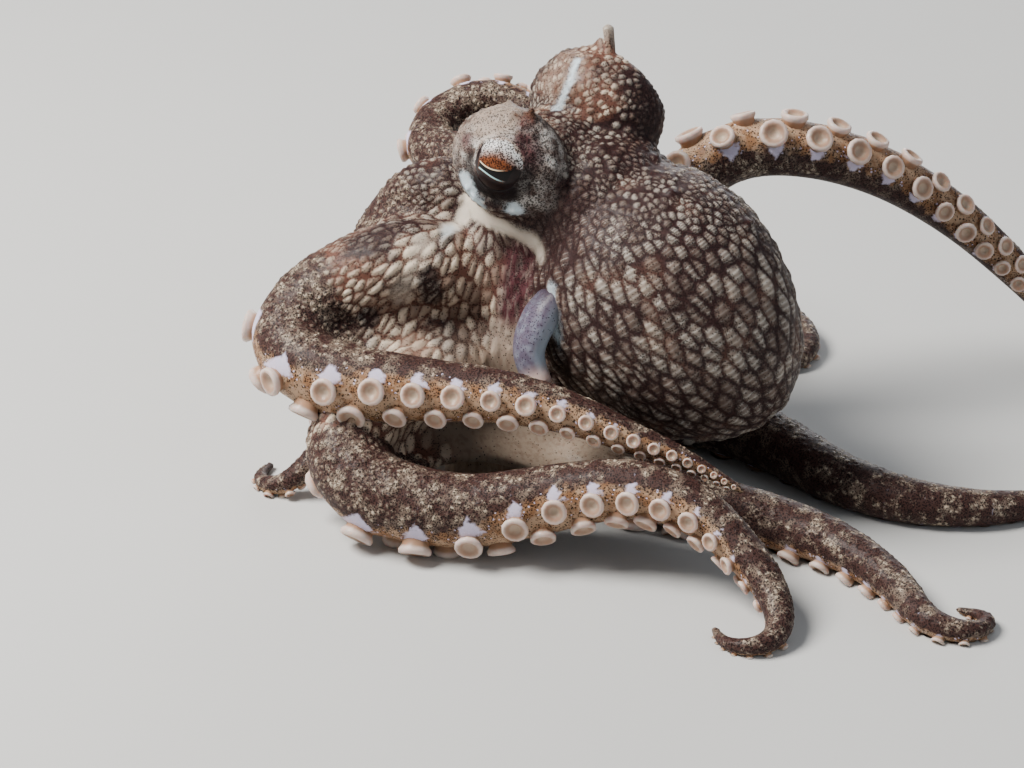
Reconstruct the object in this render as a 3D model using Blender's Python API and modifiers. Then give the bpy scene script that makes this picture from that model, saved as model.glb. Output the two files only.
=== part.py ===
"""A small veined octopus at rest, life size, as separate solids for a museum model.

The head is over the origin and faces -X, its left side faces -Y, and the floor is z = 0.
Sizes are in millimetres and become metres where a mesh is made.
"""

import math

import bmesh
import bpy
import numpy as np
from mathutils import Matrix, Vector

MM = 0.001

# Clearances
GAP = 0.35  # between neighbouring solids
JOINT_GAP = 0.5  # between the lengths of one arm
FLAT = 0.25  # how far a lying arm is pressed flat against the floor

# Head, turned a little to its right and with its right side up
HEAD_CENTRE = (1.0, 0.0, 36.5)
HEAD_SEMI = (9.5, 9.5, 10.5)
NAPE_CENTRE = (8.5, 0.5, 36.5)
NAPE_SEMI = (8.5, 10.0, 8.6)
NECK_CUT = (-12.0, 37.0, 12.0, 30.0)  # x and z of two points on the cut under the head

BROW_REACH = 9.6  # how far in front of the neck's middle the head ends

# Each eye: its raised bulge's centre and half sizes, the eyeball's centre, and its horn's base, tip and radius
EYES = {
    "left": ((0.0, -8.2, 43.0), (7.6, 5.8, 7.0), (1.1, -10.3, 44.0), ((2.6, -7.6, 48.4), (3.2, -7.7, 51.2), 1.3)),
    "right": ((2.3, 7.8, 45.0), (9.2, 6.4, 8.0), (3.4, 10.3, 46.2), ((2.6, 9.3, 50.4), (2.2, 9.9, 56.0), 2.7)),
}
EYE_R = 4.2

# Mantle, an egg whose blunt end holds the neck
MANTLE_CENTRE = (18.8, 0.0, 24.6)
MANTLE_SEMI = (18.5, 14.3, 16.6)
MANTLE_DROOP = 30.0  # degrees below level, tip end down
MANTLE_TIP_TAPER = 0.16  # how much the tip end is narrower than the neck end
MANTLE_NEIGHBOURS = ("l2", "l3", "l4", "r4")

# Siphon
SIPHON_ROUTE = ((9.6, -9.6, 28.8), (8.3, -13.2, 26.0), (8.0, -15.4, 22.2), (10.0, -16.4, 18.4))
SIPHON_ROOT = (10.6, -8.2, 29.4)
SIPHON_R = (2.6, 2.5, 2.1, 1.8)
SIPHON_BORE = 1.1
SIPHON_BORE_DEPTH = 4.0

# Crown: the flared body under the head that the arms grow from, as (radius, height)
CROWN_CENTRE_X = -1.5
CROWN_PROFILE = ((8.0, 36.0), (9.4, 30.0), (11.0, 24.0), (12.4, 17.0), (14.0, 9.0), (15.4, 2.5), (15.6, -2.0))

# Arms
ARM_ROOT_R = 4.5
ARM_TIP_R = 0.55
ARM_FULLNESS = 2.0  # how long an arm stays thick
EASE_ROUNDS = 40
RING_SPACING = 3.3  # between the points of an arm's route, near its root
TUBE_SIDES = 8
WEB_THICKNESS = 1.8
WEB_SHAPE = (0.24, 1.5)  # how far a web's edge is drawn in between two arms, and how deep it sags
WEB_SHAPES = {"l1": (0.14, -1.5), "l2": (0.08, -2.4), "r1": (0.26, 0.0)}  # where it differs, after this arm

# The block under the floor that squares off the underside
FLOOR_LOW = (-90.0, -90.0, -30.0)
FLOOR_HIGH = (90.0, 90.0, 0.0)

# Surfacing of the body
VOXEL = 0.9
SMOOTH_ROUNDS = 6
BODY_TRIANGLES = 2300
CLEARANCE_TRIANGLES = 1800
SURFACING_LOSS = 0.25  # what surfacing anew takes off a swollen shape
MANTLE_SEGMENTS = 22

# Each arm: where its web ends, its lengths, its girth, and the points that it passes through, root first
ARMS = {
    "l1": (28.0, 3, 0.95, ((-4, -2, 20), (-9, -3, 32), (-14, -4, 34.5), (-19, -6, 30),
                          (-22, -9, 22), (-23, -12.5, 13.5), (-22.5, -16.5, 8.5), (-18.5, -21, 6.5),
                          (-15.8, -24.8, 6.5), (-17.5, -29.5, 3), (-21, -31.5, 0.5), (-24.5, -29.5, 0.5),
                          (-25, -26, 0.5))),
    "l2": (30.0, 3, 1.25, ((-4, -5, 22), (-10, -11.5, 28), (-16, -16.6, 26.6), (-20.4, -20.8, 23.6),
                          (-21.6, -25.4, 20.6), (-18.4, -28.8, 18.6), (-11, -28.6, 18), (-1, -25.4, 18.2),
                          (8, -22.2, 18.6), (16, -19.2, 17.6), (24, -16.2, 15), (31, -13.5, 12.6),
                          (37, -12, 10))),
    "l3": (33.0, 3, 1.25, ((-1, -8, 14), (-5, -16, 15), (-8.5, -23.5, 13.2), (-9.6, -30, 9.8),
                          (-4.5, -33, 6.8), (2, -31.6, 5.7), (9, -28.6, 5.6), (17.4, -23.8, 8),
                          (26, -20, 10.4), (34, -18.6, 9.8), (42, -19.5, 6.5), (49, -22.5, 3),
                          (51.5, -28, 0.5), (47, -31, 0.5), (43.5, -28, 0.5))),
    "l4": (23.0, 3, 0.95, ((3, -6, 8), (9, -9, 4), (18, -10, 3), (28, -8, 3), (38, -6, 3), (48, -6, 2),
                          (57, -9, 1), (64, -13.5, 1), (69.5, -12, 1), (69, -7, 0.5), (65, -7.5, 0.5))),
    "r4": (23.0, 3, 0.95, ((3, 6, 8), (10, 10, 4), (19, 12, 3), (29, 11, 3), (39, 8.5, 3), (48, 9, 2),
                          (56, 13, 1), (61.5, 19, 1), (67, 22.5, 1), (71.5, 20, 0.5), (69.5, 16.2, 0.5))),
    "r3": (26.0, 3, 0.95, ((-1, 7, 14), (3, 14, 21), (6.5, 20.5, 30), (11, 26, 35), (18, 32.5, 35),
                          (26, 40, 31), (33.5, 47, 24), (40, 53, 15.5), (46.5, 57, 7.5), (53.5, 57.5, 2),
                          (59, 53.5, 0.5), (57.5, 49, 0.5))),
    "r2": (26.0, 3, 0.95, ((-4, 5, 20), (-7, 13, 20), (-11, 22, 15), (-13, 31, 8), (-10.5, 39, 2),
                          (-3.5, 45, 2), (6, 47, 2), (14, 43.5, 1), (16, 37, 1), (11.5, 33.8, 0.5),
                          (8, 37, 0.5))),
    "r1": (22.0, 3, 0.9, ((-5, 4, 22), (-10, 6, 31), (-17.5, 7, 33), (-24, 8.6, 32.4), (-27, 13.4, 34.2),
                          (-23.4, 19, 36.8), (-16.4, 20.6, 36), (-12, 16.6, 32.6), (-14.6, 12.8, 29.8),
                          (-19, 13.6, 28.6))),
}
RING_ORDER = ("r1", "l1", "l2", "l3", "l4", "r4", "r3", "r2")

# Each kind of part: its colour and roughness
FINISHES = {
    "head": ((0.23, 0.16, 0.13), 0.55),
    "crown": ((0.42, 0.33, 0.25), 0.55),
    "mantle": ((0.30, 0.22, 0.18), 0.5),
    "siphon": ((0.42, 0.38, 0.46), 0.4),
    "arm": ((0.36, 0.25, 0.19), 0.5),
    "eye": ((0.30, 0.14, 0.06), 0.12),
}


def clear_scene():
    for obj in list(bpy.data.objects):
        bpy.data.objects.remove(obj)


def collection(name):
    made = bpy.data.collections.new(name)
    bpy.context.scene.collection.children.link(made)
    return made


def material(part_name):
    """A material for this part, in the colour of its kind, which is the first word of its name."""
    colour, roughness = FINISHES[part_name.split("_")[0]]
    made = bpy.data.materials.new(part_name)
    made.use_nodes = True
    shader = made.node_tree.nodes["Principled BSDF"]
    shader.inputs["Base Color"].default_value = (*colour, 1.0)
    shader.inputs["Roughness"].default_value = roughness
    shader.inputs["Metallic"].default_value = 0.0
    return made


def linked(name, mesh, home):
    obj = bpy.data.objects.new(name, mesh)
    home.objects.link(obj)
    return obj


def baked(obj, home):
    """obj with its modifiers applied and its place in its mesh, welded, as a new object."""
    bpy.context.view_layer.update()
    graph = bpy.context.evaluated_depsgraph_get()
    mesh = bpy.data.meshes.new_from_object(obj.evaluated_get(graph))
    mesh.transform(obj.matrix_world)
    bm = bmesh.new()
    bm.from_mesh(mesh)
    bmesh.ops.remove_doubles(bm, verts=bm.verts, dist=1e-6)
    bm.to_mesh(mesh)
    bm.free()
    name = obj.name
    bpy.data.objects.remove(obj)
    return linked(name, mesh, home)


def ellipsoid(name, centre, semi, home, segments=24, rings=16):
    bm = bmesh.new()
    bmesh.ops.create_uvsphere(bm, u_segments=segments, v_segments=rings, radius=1.0)
    bm.transform(Matrix.Translation(Vector(centre) * MM) @ Matrix.Diagonal((*(s * MM for s in semi), 1)))
    mesh = bpy.data.meshes.new(name)
    bm.to_mesh(mesh)
    bm.free()
    return linked(name, mesh, home)


def arm_radius(share, girth=1.0):
    """The arm's radius at this share of its length: full at the root, fine at the tip."""
    return ARM_TIP_R + (ARM_ROOT_R * girth - ARM_TIP_R) * np.maximum(1 - share**ARM_FULLNESS, 0)


def arm_line(points, girth, samples=300):
    """A smooth curve through or close by the points, evenly spaced, and the distance along it.

    A Catmull-Rom curve is eased by local averaging. Where the arm reaches the floor, its middle
    rises to its own radius.
    """
    knots = np.array(points, float)
    knots = np.vstack([2 * knots[0] - knots[1], knots, 2 * knots[-1] - knots[-2]])
    spans = len(points) - 1
    t = np.linspace(0, spans, samples)
    i = np.minimum(t.astype(int), spans - 1)
    f = (t - i)[:, None]
    p0, p1, p2, p3 = (knots[i + k] for k in range(4))
    line = 0.5 * (2 * p1 + (p2 - p0) * f + (2 * p0 - 5 * p1 + 4 * p2 - p3) * f**2
                  + (3 * p1 - p0 - 3 * p2 + p3) * f**3)
    for _ in range(2):
        along = np.concatenate([[0], np.cumsum(np.linalg.norm(np.diff(line, axis=0), axis=1))])
        even = np.linspace(0, along[-1], samples)
        line = np.stack([np.interp(even, along, line[:, k]) for k in range(3)], axis=1)
        floor = arm_radius(even / along[-1], girth) - FLAT
        line[:, 2] = np.maximum(line[:, 2], floor)
        for _ in range(EASE_ROUNDS):
            line[1:-1] = 0.25 * line[:-2] + 0.5 * line[1:-1] + 0.25 * line[2:]
    line[:, 2] = np.maximum(line[:, 2], floor)
    return line, even


class Arm:
    """One arm's route, its girth and where its web ends."""

    def __init__(self, name):
        self.name = name
        self.web_end, self.lengths, self.girth, points = ARMS[name]
        self.line, self.along = arm_line(points, self.girth)
        self.length = self.along[-1]

    def at(self, distance):
        return np.array([np.interp(distance, self.along, self.line[:, k]) for k in range(3)])

    def heading(self, distance):
        step = self.at(distance + 0.5) - self.at(distance - 0.5)
        return step / np.linalg.norm(step)

    def radius(self, distance):
        return arm_radius(distance / self.length, self.girth)


def tube(name, places, headings, radii, home):
    """A round tube with a ring square to the heading at each place, and a flat cap at each end."""
    bm = bmesh.new()
    side = np.cross(headings[0], np.eye(3)[np.argmin(np.abs(headings[0]))])
    last_ring = None
    for place, heading, radius in zip(places, headings, radii):
        side = side - heading * np.dot(side, heading)
        side /= np.linalg.norm(side)
        turn = Matrix((side, np.cross(heading, side), heading)).transposed().to_4x4()
        matrix = Matrix.Translation(Vector(place) * MM) @ turn
        circle = bmesh.ops.create_circle(bm, segments=TUBE_SIDES, radius=radius * MM, matrix=matrix)
        ring = list({edge for vert in circle["verts"] for edge in vert.link_edges})
        if last_ring:
            bmesh.ops.bridge_loops(bm, edges=last_ring + ring)
        last_ring = ring
    bmesh.ops.holes_fill(bm, edges=bm.edges, sides=TUBE_SIDES)
    bmesh.ops.recalc_face_normals(bm, faces=bm.faces)
    mesh = bpy.data.meshes.new(name)
    bm.to_mesh(mesh)
    bm.free()
    return linked(name, mesh, home)


def tube_through(name, places, radii, home):
    places = np.array(places, float)
    steps = np.gradient(places, axis=0)
    headings = steps / np.linalg.norm(steps, axis=1)[:, None]
    return tube(name, places, headings, radii, home)


def arm_tube(name, arm, start, end, home, extra=0.0):
    """The stretch of an arm from start to end, as a tapered tube."""
    steps = [start]
    while steps[-1] < end:
        steps.append(steps[-1] + RING_SPACING * max(0.45, arm.radius(steps[-1]) / ARM_ROOT_R))
    distances = np.linspace(start, end, len(steps))
    return tube(name, [arm.at(d) for d in distances], [arm.heading(d) for d in distances],
                [arm.radius(d) + extra for d in distances], home)


def web_panel(name, first, second, home):
    """The web between two arms: a sheet from one arm's middle to the other's, drawn in at its edge."""
    scallop, sag = WEB_SHAPES.get(first.name, WEB_SHAPE)
    bm = bmesh.new()
    bmesh.ops.create_grid(bm, x_segments=12, y_segments=12, size=0.5)
    axis = np.array([CROWN_CENTRE_X, 0, 0])
    for vert in bm.verts:
        u, v = vert.co.x + 0.5, vert.co.y + 0.5
        reach = v * (1 - scallop * math.sin(math.pi * u) ** 1.2)
        point = (1 - u) * first.at(reach * first.web_end) + u * second.at(reach * second.web_end)
        inward = (axis - point) * (1, 1, 0)
        inward /= max(np.linalg.norm(inward), 1e-6)
        point = point + inward * sag * math.sin(math.pi * u) * v
        point[2] = max(point[2], WEB_THICKNESS / 2)
        vert.co = point * MM
    mesh = bpy.data.meshes.new(name)
    bm.to_mesh(mesh)
    bm.free()
    obj = linked(name, mesh, home)
    solidify = obj.modifiers.new("thickness", "SOLIDIFY")
    solidify.thickness = WEB_THICKNESS * MM
    solidify.offset = 0
    return baked(obj, home)


def crown(name, home):
    """The turned body under the head, from the neck down to its flat underside."""
    mesh = bpy.data.meshes.new(name)
    profile = [(0.0, CROWN_PROFILE[0][1]), *CROWN_PROFILE, (0.0, CROWN_PROFILE[-1][1])]
    bm = bmesh.new()
    verts = [bm.verts.new((r * MM, 0, z * MM)) for r, z in profile]
    for a, b in zip(verts, verts[1:]):
        bm.edges.new((a, b))
    bm.to_mesh(mesh)
    bm.free()
    obj = linked(name, mesh, home)
    obj.location.x = CROWN_CENTRE_X * MM
    screw = obj.modifiers.new("turn", "SCREW")
    screw.steps = screw.render_steps = 32
    screw.use_merge_vertices = True
    screw.merge_threshold = 0.00001
    return baked(obj, home)


def horn(name, base, tip, radius, home):
    """The pointed papilla behind the top of an eye."""
    return tube_through(name, (base, (np.array(base) + tip) / 2, tip), (radius, radius * 0.62, 0.35), home)


def joined(name, objects, home):
    """The objects' meshes as one mesh of several shells."""
    bm = bmesh.new()
    for obj in objects:
        bm.from_mesh(obj.data)
        bpy.data.objects.remove(obj)
    mesh = bpy.data.meshes.new(name)
    bm.to_mesh(mesh)
    bm.free()
    return linked(name, mesh, home)


def surfaced(obj, home, triangles, smoothing=SMOOTH_ROUNDS):
    """One even skin round all of obj's shells, smoothed, with about this many triangles."""
    remesh = obj.modifiers.new("skin", "REMESH")
    remesh.mode = "VOXEL"
    remesh.voxel_size = VOXEL * MM
    smooth = obj.modifiers.new("smooth", "SMOOTH")
    smooth.factor = 0.5
    smooth.iterations = smoothing
    obj = main_body_only(baked(obj, home))
    decimate = obj.modifiers.new("thin", "DECIMATE")
    obj.data.calc_loop_triangles()
    decimate.ratio = min(1.0, triangles / len(obj.data.loop_triangles))
    return baked(obj, home)


def cut(obj, cutter, home, operation="DIFFERENCE", keep_cutter=False):
    boolean = obj.modifiers.new("cut", "BOOLEAN")
    boolean.operation = operation
    boolean.object = cutter
    boolean.solver = "EXACT"
    made = baked(obj, home)
    if not keep_cutter:
        bpy.data.objects.remove(cutter)
    return made


def main_body_only(obj):
    """obj without the small loose chips that a cut can leave."""
    bm = bmesh.new()
    bm.from_mesh(obj.data)
    bmesh.ops.recalc_face_normals(bm, faces=bm.faces)
    left, groups = set(bm.verts), []
    while left:
        group, front = set(), [left.pop()]
        while front:
            vert = front.pop()
            group.add(vert)
            for edge in vert.link_edges:
                other = edge.other_vert(vert)
                if other in left:
                    left.remove(other)
                    front.append(other)
        groups.append(group)
    groups.sort(key=len)
    bmesh.ops.delete(bm, geom=[v for g in groups[:-1] for v in g], context="VERTS")
    bm.to_mesh(obj.data)
    bm.free()
    return obj


def box(name, low, high, home):
    bm = bmesh.new()
    bmesh.ops.create_cube(bm, size=1.0)
    size = [(h - l) * MM for l, h in zip(low, high)]
    middle = [(h + l) / 2 * MM for l, h in zip(low, high)]
    bm.transform(Matrix.Translation(middle) @ Matrix.Diagonal((*size, 1)))
    mesh = bpy.data.meshes.new(name)
    bm.to_mesh(mesh)
    bm.free()
    return linked(name, mesh, home)


def pressed_flat(obj):
    """Brings whatever dips under the floor up to it, which leaves small flats."""
    for vert in obj.data.vertices:
        vert.co.z = max(vert.co.z, 0.0)
    return obj


def above_neck(name, home, shift):
    """A big block that holds the head, with its lower and front sides moved inwards by shift."""
    x0, z0, x1, z1 = NECK_CUT
    block = box(name, (-BROW_REACH + shift, -60, shift), (60, 60, 80), home)
    tilt = math.atan2(z0 - z1, x1 - x0)
    middle = Vector(((x0 + x1) / 2, 0, (z0 + z1) / 2)) * MM
    block.data.transform(Matrix.Translation(middle) @ Matrix.Rotation(tilt, 4, "Y"))
    return block


def build_body(arms, parts, cutters):
    """Head, crown, web and arm roots as one skin, cut into the head and the crown with its web."""
    shells = [
        ellipsoid("head_core", HEAD_CENTRE, HEAD_SEMI, cutters),
        ellipsoid("nape", NAPE_CENTRE, NAPE_SEMI, cutters),
        crown("crown_core", cutters),
    ]
    for centre, semi, _, (base, tip, radius) in EYES.values():
        shells.append(ellipsoid("bulge", centre, semi, cutters))
        shells.append(horn("horn", base, tip, radius, cutters))
    for arm in arms.values():
        shells.append(arm_tube("root", arm, 0.0, arm.web_end + 2.0, cutters))
    for name, after in zip(RING_ORDER, RING_ORDER[1:] + RING_ORDER[:1]):
        shells.append(web_panel("web", arms[name], arms[after], cutters))
    body = surfaced(joined("body", shells, cutters), cutters, BODY_TRIANGLES)
    room = swollen(body, GAP + SURFACING_LOSS, cutters)
    for arm in arms.values():
        body = cut(body, arm_tube("room", arm, arm.web_end, arm.length, cutters, GAP), cutters)
    body = cut(body, box("floor", FLOOR_LOW, FLOOR_HIGH, cutters), cutters)
    for _, _, centre, _ in EYES.values():
        body = cut(body, ellipsoid("socket", centre, (EYE_R + GAP,) * 3, cutters, 16, 10), cutters)
    head = linked("head", body.data.copy(), parts)
    head = main_body_only(cut(head, above_neck("upper", cutters, GAP / 2), parts, "INTERSECT"))
    crown_part = linked("crown", body.data.copy(), parts)
    bpy.data.objects.remove(body)
    crown_part = main_body_only(cut(crown_part, above_neck("lower", cutters, -GAP / 2), parts))
    return head, crown_part, room


def swollen(obj, by, home):
    """A copy of obj grown by this much all over and surfaced anew, to cut a clearance with."""
    copy = linked(obj.name + "_swollen", obj.data.copy(), home)
    grow = copy.modifiers.new("grow", "DISPLACE")
    grow.strength = by * MM
    grow.mid_level = 0.0
    return surfaced(copy, home, CLEARANCE_TRIANGLES, 1)


def build_siphon(room, parts, cutters):
    """A tapering soft tube from under the mantle's edge, with its open end forward and down."""
    siphon = tube_through("siphon", SIPHON_ROUTE, SIPHON_R, parts)
    end, before = Vector(SIPHON_ROUTE[-1]), Vector(SIPHON_ROUTE[-2])
    out = (end - before).normalized() * SIPHON_BORE_DEPTH
    bore = tube_through("bore", (end - out, end, end + out), (SIPHON_BORE,) * 3, cutters)
    siphon = cut(siphon, bore, parts)
    siphon = cut(siphon, room, parts, keep_cutter=True)
    return main_body_only(siphon)


def build_mantle(room, arms, parts, cutters):
    """The body sack behind the head: an egg that droops, clear of all that it lies against."""
    mantle = ellipsoid("mantle", (0, 0, 0), (1, 1, 1), parts, MANTLE_SEGMENTS, MANTLE_SEGMENTS // 2)
    droop = Matrix.Rotation(math.radians(MANTLE_DROOP), 3, "Y")
    for vert in mantle.data.vertices:
        along, side, up = vert.co / MM
        slim = 1 - MANTLE_TIP_TAPER * along
        place = Vector((along * MANTLE_SEMI[0], side * slim * MANTLE_SEMI[1], up * slim * MANTLE_SEMI[2]))
        vert.co = (droop @ place + Vector(MANTLE_CENTRE)) * MM
    mantle = cut(mantle, room, parts)
    route, radii = (SIPHON_ROOT, *SIPHON_ROUTE), (SIPHON_R[0], *SIPHON_R)
    mantle = cut(mantle, tube_through("siphon_room", route, [r + GAP for r in radii], cutters), parts)
    for name in MANTLE_NEIGHBOURS:
        arm = arms[name]
        mantle = cut(mantle, arm_tube("room", arm, arm.web_end, arm.length, cutters, GAP), parts)
    return main_body_only(mantle)


def build_arms(arms, parts):
    """Each arm beyond the web, in a few lengths that follow on from one another."""
    made = []
    for arm in arms.values():
        first = arm.web_end + GAP
        span = (arm.length - first) / arm.lengths
        for k in range(arm.lengths):
            end = first + (k + 1) * span - (JOINT_GAP if k < arm.lengths - 1 else 0)
            made.append(pressed_flat(arm_tube(f"arm_{arm.name}_{k + 1}", arm, first + k * span, end, parts)))
    return made


def main():
    clear_scene()
    parts, cutters = collection("octopus"), collection("cutters")
    arms = {name: Arm(name) for name in ARMS}
    head, crown_part, room = build_body(arms, parts, cutters)
    siphon = build_siphon(room, parts, cutters)
    lengths = build_arms(arms, parts)
    mantle = build_mantle(room, arms, parts, cutters)
    eyes = [ellipsoid("eye_" + side, EYES[side][2], (EYE_R,) * 3, parts, 16, 10) for side in EYES]
    for obj in [head, crown_part, siphon, mantle, *lengths, *eyes]:
        obj.data.materials.clear()
        obj.data.materials.append(material(obj.name))
        obj.data.shade_smooth()
        obj.data.set_sharp_from_angle(angle=math.radians(50))
    for helper in list(cutters.objects):
        bpy.data.objects.remove(helper)


main()
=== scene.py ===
"""A small veined octopus at rest, life size, as a still model for a museum.

The head is over the origin and faces -X, the animal's left side faces -Y and the floor is z = 0.
Shapes are worked out in millimetres, as whole arrays, and become metres where a mesh is made.
"""

from __future__ import annotations

import logging
import math
from dataclasses import dataclass, field
from enum import Enum

import bpy
import numpy as np
from mathutils import Matrix, Vector

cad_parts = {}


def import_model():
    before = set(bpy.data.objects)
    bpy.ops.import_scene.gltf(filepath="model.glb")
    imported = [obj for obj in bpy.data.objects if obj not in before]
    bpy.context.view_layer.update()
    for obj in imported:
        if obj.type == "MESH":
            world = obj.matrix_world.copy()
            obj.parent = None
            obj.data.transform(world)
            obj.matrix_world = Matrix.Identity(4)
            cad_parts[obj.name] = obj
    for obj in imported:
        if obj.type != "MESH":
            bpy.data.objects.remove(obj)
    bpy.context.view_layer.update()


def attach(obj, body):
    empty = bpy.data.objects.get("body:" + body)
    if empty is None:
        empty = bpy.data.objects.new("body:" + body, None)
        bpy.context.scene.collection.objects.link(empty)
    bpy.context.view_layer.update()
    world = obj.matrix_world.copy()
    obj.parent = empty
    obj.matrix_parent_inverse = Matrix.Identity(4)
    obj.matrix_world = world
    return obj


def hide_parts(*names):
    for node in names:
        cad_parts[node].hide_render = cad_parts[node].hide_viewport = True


MM = 0.001
LOG = logging.getLogger("octopus")

Point = tuple[float, float, float]
Value = "Wire | bpy.types.NodeSocket | float | tuple"


# ---------------------------------------------------------------- arrays and meshes


def unit(vectors: np.ndarray) -> np.ndarray:
    """The vectors at length one."""
    return vectors / np.maximum(np.linalg.norm(vectors, axis=-1, keepdims=True), 1e-9)


def ease(low: float, high: float, values: np.ndarray) -> np.ndarray:
    """Zero below low, one above high, and the smooth cubic 3t^2 - 2t^3 between them.

    Args:
        low: the value where the rise starts. It may be above high, which turns the rise round.
        high: the value where the rise ends.
        values: what is eased.

    Returns:
        The eased values, from zero to one.
    """
    t = np.clip((values - low) / (high - low), 0.0, 1.0)
    return t * t * (3.0 - 2.0 * t)


@dataclass
class Shell:
    """A closed surface: points in millimetres, and its four- and three-sided faces."""

    points: np.ndarray
    quads: np.ndarray
    tris: np.ndarray = field(default_factory=lambda: np.zeros((0, 3), int))

    def mesh(self, name: str) -> bpy.types.Mesh:
        """The shell as a mesh in metres, shaded smooth.

        Args:
            name: the mesh's name.

        Returns:
            The new mesh.
        """
        mesh = bpy.data.meshes.new(name)
        corners = np.concatenate([self.quads.ravel(), self.tris.ravel()]).astype(np.int32)
        counts = np.concatenate([np.full(len(self.quads), 4), np.full(len(self.tris), 3)])
        starts = np.concatenate([[0], np.cumsum(counts)[:-1]]).astype(np.int32)
        mesh.vertices.add(len(self.points))
        mesh.vertices.foreach_set("co", (self.points * MM).astype(np.float32).ravel())
        mesh.loops.add(len(corners))
        mesh.loops.foreach_set("vertex_index", corners)
        mesh.polygons.add(len(counts))
        mesh.polygons.foreach_set("loop_start", starts)
        mesh.update(calc_edges=True)
        mesh.validate()
        mesh.shade_smooth()
        return mesh

    def object(self, name: str) -> bpy.types.Object:
        """The shell as a new object at the origin."""
        return add_object(name, self.mesh(name))


def joined(shells: list[Shell]) -> Shell:
    """Several shells as one, with each shell's faces counted on from the last one's points.

    Args:
        shells: the shells.

    Returns:
        One shell that holds them all.
    """
    starts = np.cumsum([0] + [len(s.points) for s in shells[:-1]])
    return Shell(
        np.concatenate([s.points for s in shells]),
        np.concatenate([s.quads + n for s, n in zip(shells, starts)]),
        np.concatenate([s.tris + n for s, n in zip(shells, starts)]),
    )


def wrapped(grid: np.ndarray) -> Shell:
    """A tube-like grid of rings, closed round each ring and by a fan to a middle point at each end.

    Args:
        grid: points of shape (rings, points in a ring, 3), each ring turning left about the way on.

    Returns:
        The closed shell, facing outwards.
    """
    rings, sides, _ = grid.shape
    index = np.arange(rings * sides).reshape(rings, sides)
    after = np.roll(index, -1, axis=1)
    quads = np.stack([index[:-1], after[:-1], after[1:], index[1:]], axis=-1).reshape(-1, 4)
    first, last = rings * sides, rings * sides + 1
    start = np.stack([after[0], index[0], np.full(sides, first)], axis=-1)
    end = np.stack([index[-1], after[-1], np.full(sides, last)], axis=-1)
    points = np.concatenate([grid.reshape(-1, 3), grid[:1].mean(axis=1), grid[-1:].mean(axis=1)])
    return Shell(points, quads, np.concatenate([start, end]))


def squares(rows: int, columns: int) -> np.ndarray:
    """The four-sided faces of a grid of points."""
    index = np.arange(rows * columns).reshape(rows, columns)
    return np.stack([index[:-1, :-1], index[1:, :-1], index[1:, 1:], index[:-1, 1:]], -1).reshape(-1, 4)


def slab(middle: np.ndarray, thickness: np.ndarray) -> Shell:
    """A sheet given its thickness: its middle moved half of it each way along the sheet's normal.

    Args:
        middle: points of shape (rows, columns, 3).
        thickness: full thickness at each point, of shape (rows, columns).

    Returns:
        The closed slab.
    """
    rows, columns, _ = middle.shape
    normal = unit(np.cross(np.gradient(middle, axis=0), np.gradient(middle, axis=1)))
    half = normal * thickness[..., None] / 2
    count = rows * columns
    index = np.arange(count).reshape(rows, columns)
    top = squares(rows, columns)
    edge = np.concatenate([index[:-1, 0], index[-1, :-1], index[:0:-1, -1], index[0, :0:-1]])
    onward = np.roll(edge, -1)
    rim = np.stack([edge, edge + count, onward + count, onward], axis=-1)
    points = np.concatenate([(middle + half).reshape(-1, 3), (middle - half).reshape(-1, 3)])
    return Shell(points, np.concatenate([top, top[:, ::-1] + count, rim]))


def ball(centre: Point, semi: Point, rings: int = 32, sides: int = 48) -> Shell:
    """An ellipsoid: centre + semi * (cos a sin b, sin a sin b, -cos b).

    Args:
        centre: its middle.
        semi: its half sizes.
        rings: how many rings from pole to pole.
        sides: how many points in a ring.

    Returns:
        The closed shell.
    """
    b = np.linspace(0.03, math.pi - 0.03, rings)[:, None]
    a = np.linspace(0, 2 * math.pi, sides, endpoint=False)[None, :]
    grid = np.stack([np.cos(a) * np.sin(b), np.sin(a) * np.sin(b), -np.cos(b) + 0 * a], axis=-1)
    return wrapped(grid * np.array(semi) + np.array(centre))


def read_off(where: np.ndarray, places: np.ndarray, rows: np.ndarray) -> np.ndarray:
    """Three columns of values kept at places along a line, read at other places along it."""
    return np.stack([np.interp(where, places, rows[:, k]) for k in range(3)], axis=-1)


def curve_through(knots: np.ndarray, samples: int) -> np.ndarray:
    """A Catmull-Rom curve: each span is the cubic whose ends' slopes are half the step between the
    neighbours on either side.

    Args:
        knots: points that it passes through.
        samples: how many points to return.

    Returns:
        Points along the curve.
    """
    ends = np.vstack([2 * knots[0] - knots[1], knots, 2 * knots[-1] - knots[-2]])
    t = np.linspace(0, len(knots) - 1, samples)
    i = np.minimum(t.astype(int), len(knots) - 2)
    f = (t - i)[:, None]
    p0, p1, p2, p3 = (ends[i + k] for k in range(4))
    return 0.5 * (2 * p1 + (p2 - p0) * f + (2 * p0 - 5 * p1 + 4 * p2 - p3) * f**2
                  + (3 * p1 - p0 - 3 * p2 + p3) * f**3)


def carried(line: np.ndarray, radii: np.ndarray, sides: int = 24) -> Shell:
    """A round tube: line + radius * (cos a * side + sin a * up), square to the line.

    Args:
        line: points of its middle.
        radii: its radius at each point.
        sides: how many points in a ring.

    Returns:
        The closed shell.
    """
    heading = unit(np.gradient(line, axis=0))
    side = unit(np.cross(heading, np.eye(3)[np.argmin(np.abs(heading).max(axis=0))]))
    up = np.cross(heading, side)
    a = np.linspace(0, 2 * math.pi, sides, endpoint=False)[None, :, None]
    ring = np.cos(a) * side[:, None] + np.sin(a) * up[:, None]
    return wrapped(line[:, None] + ring * radii[:, None, None])


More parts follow.
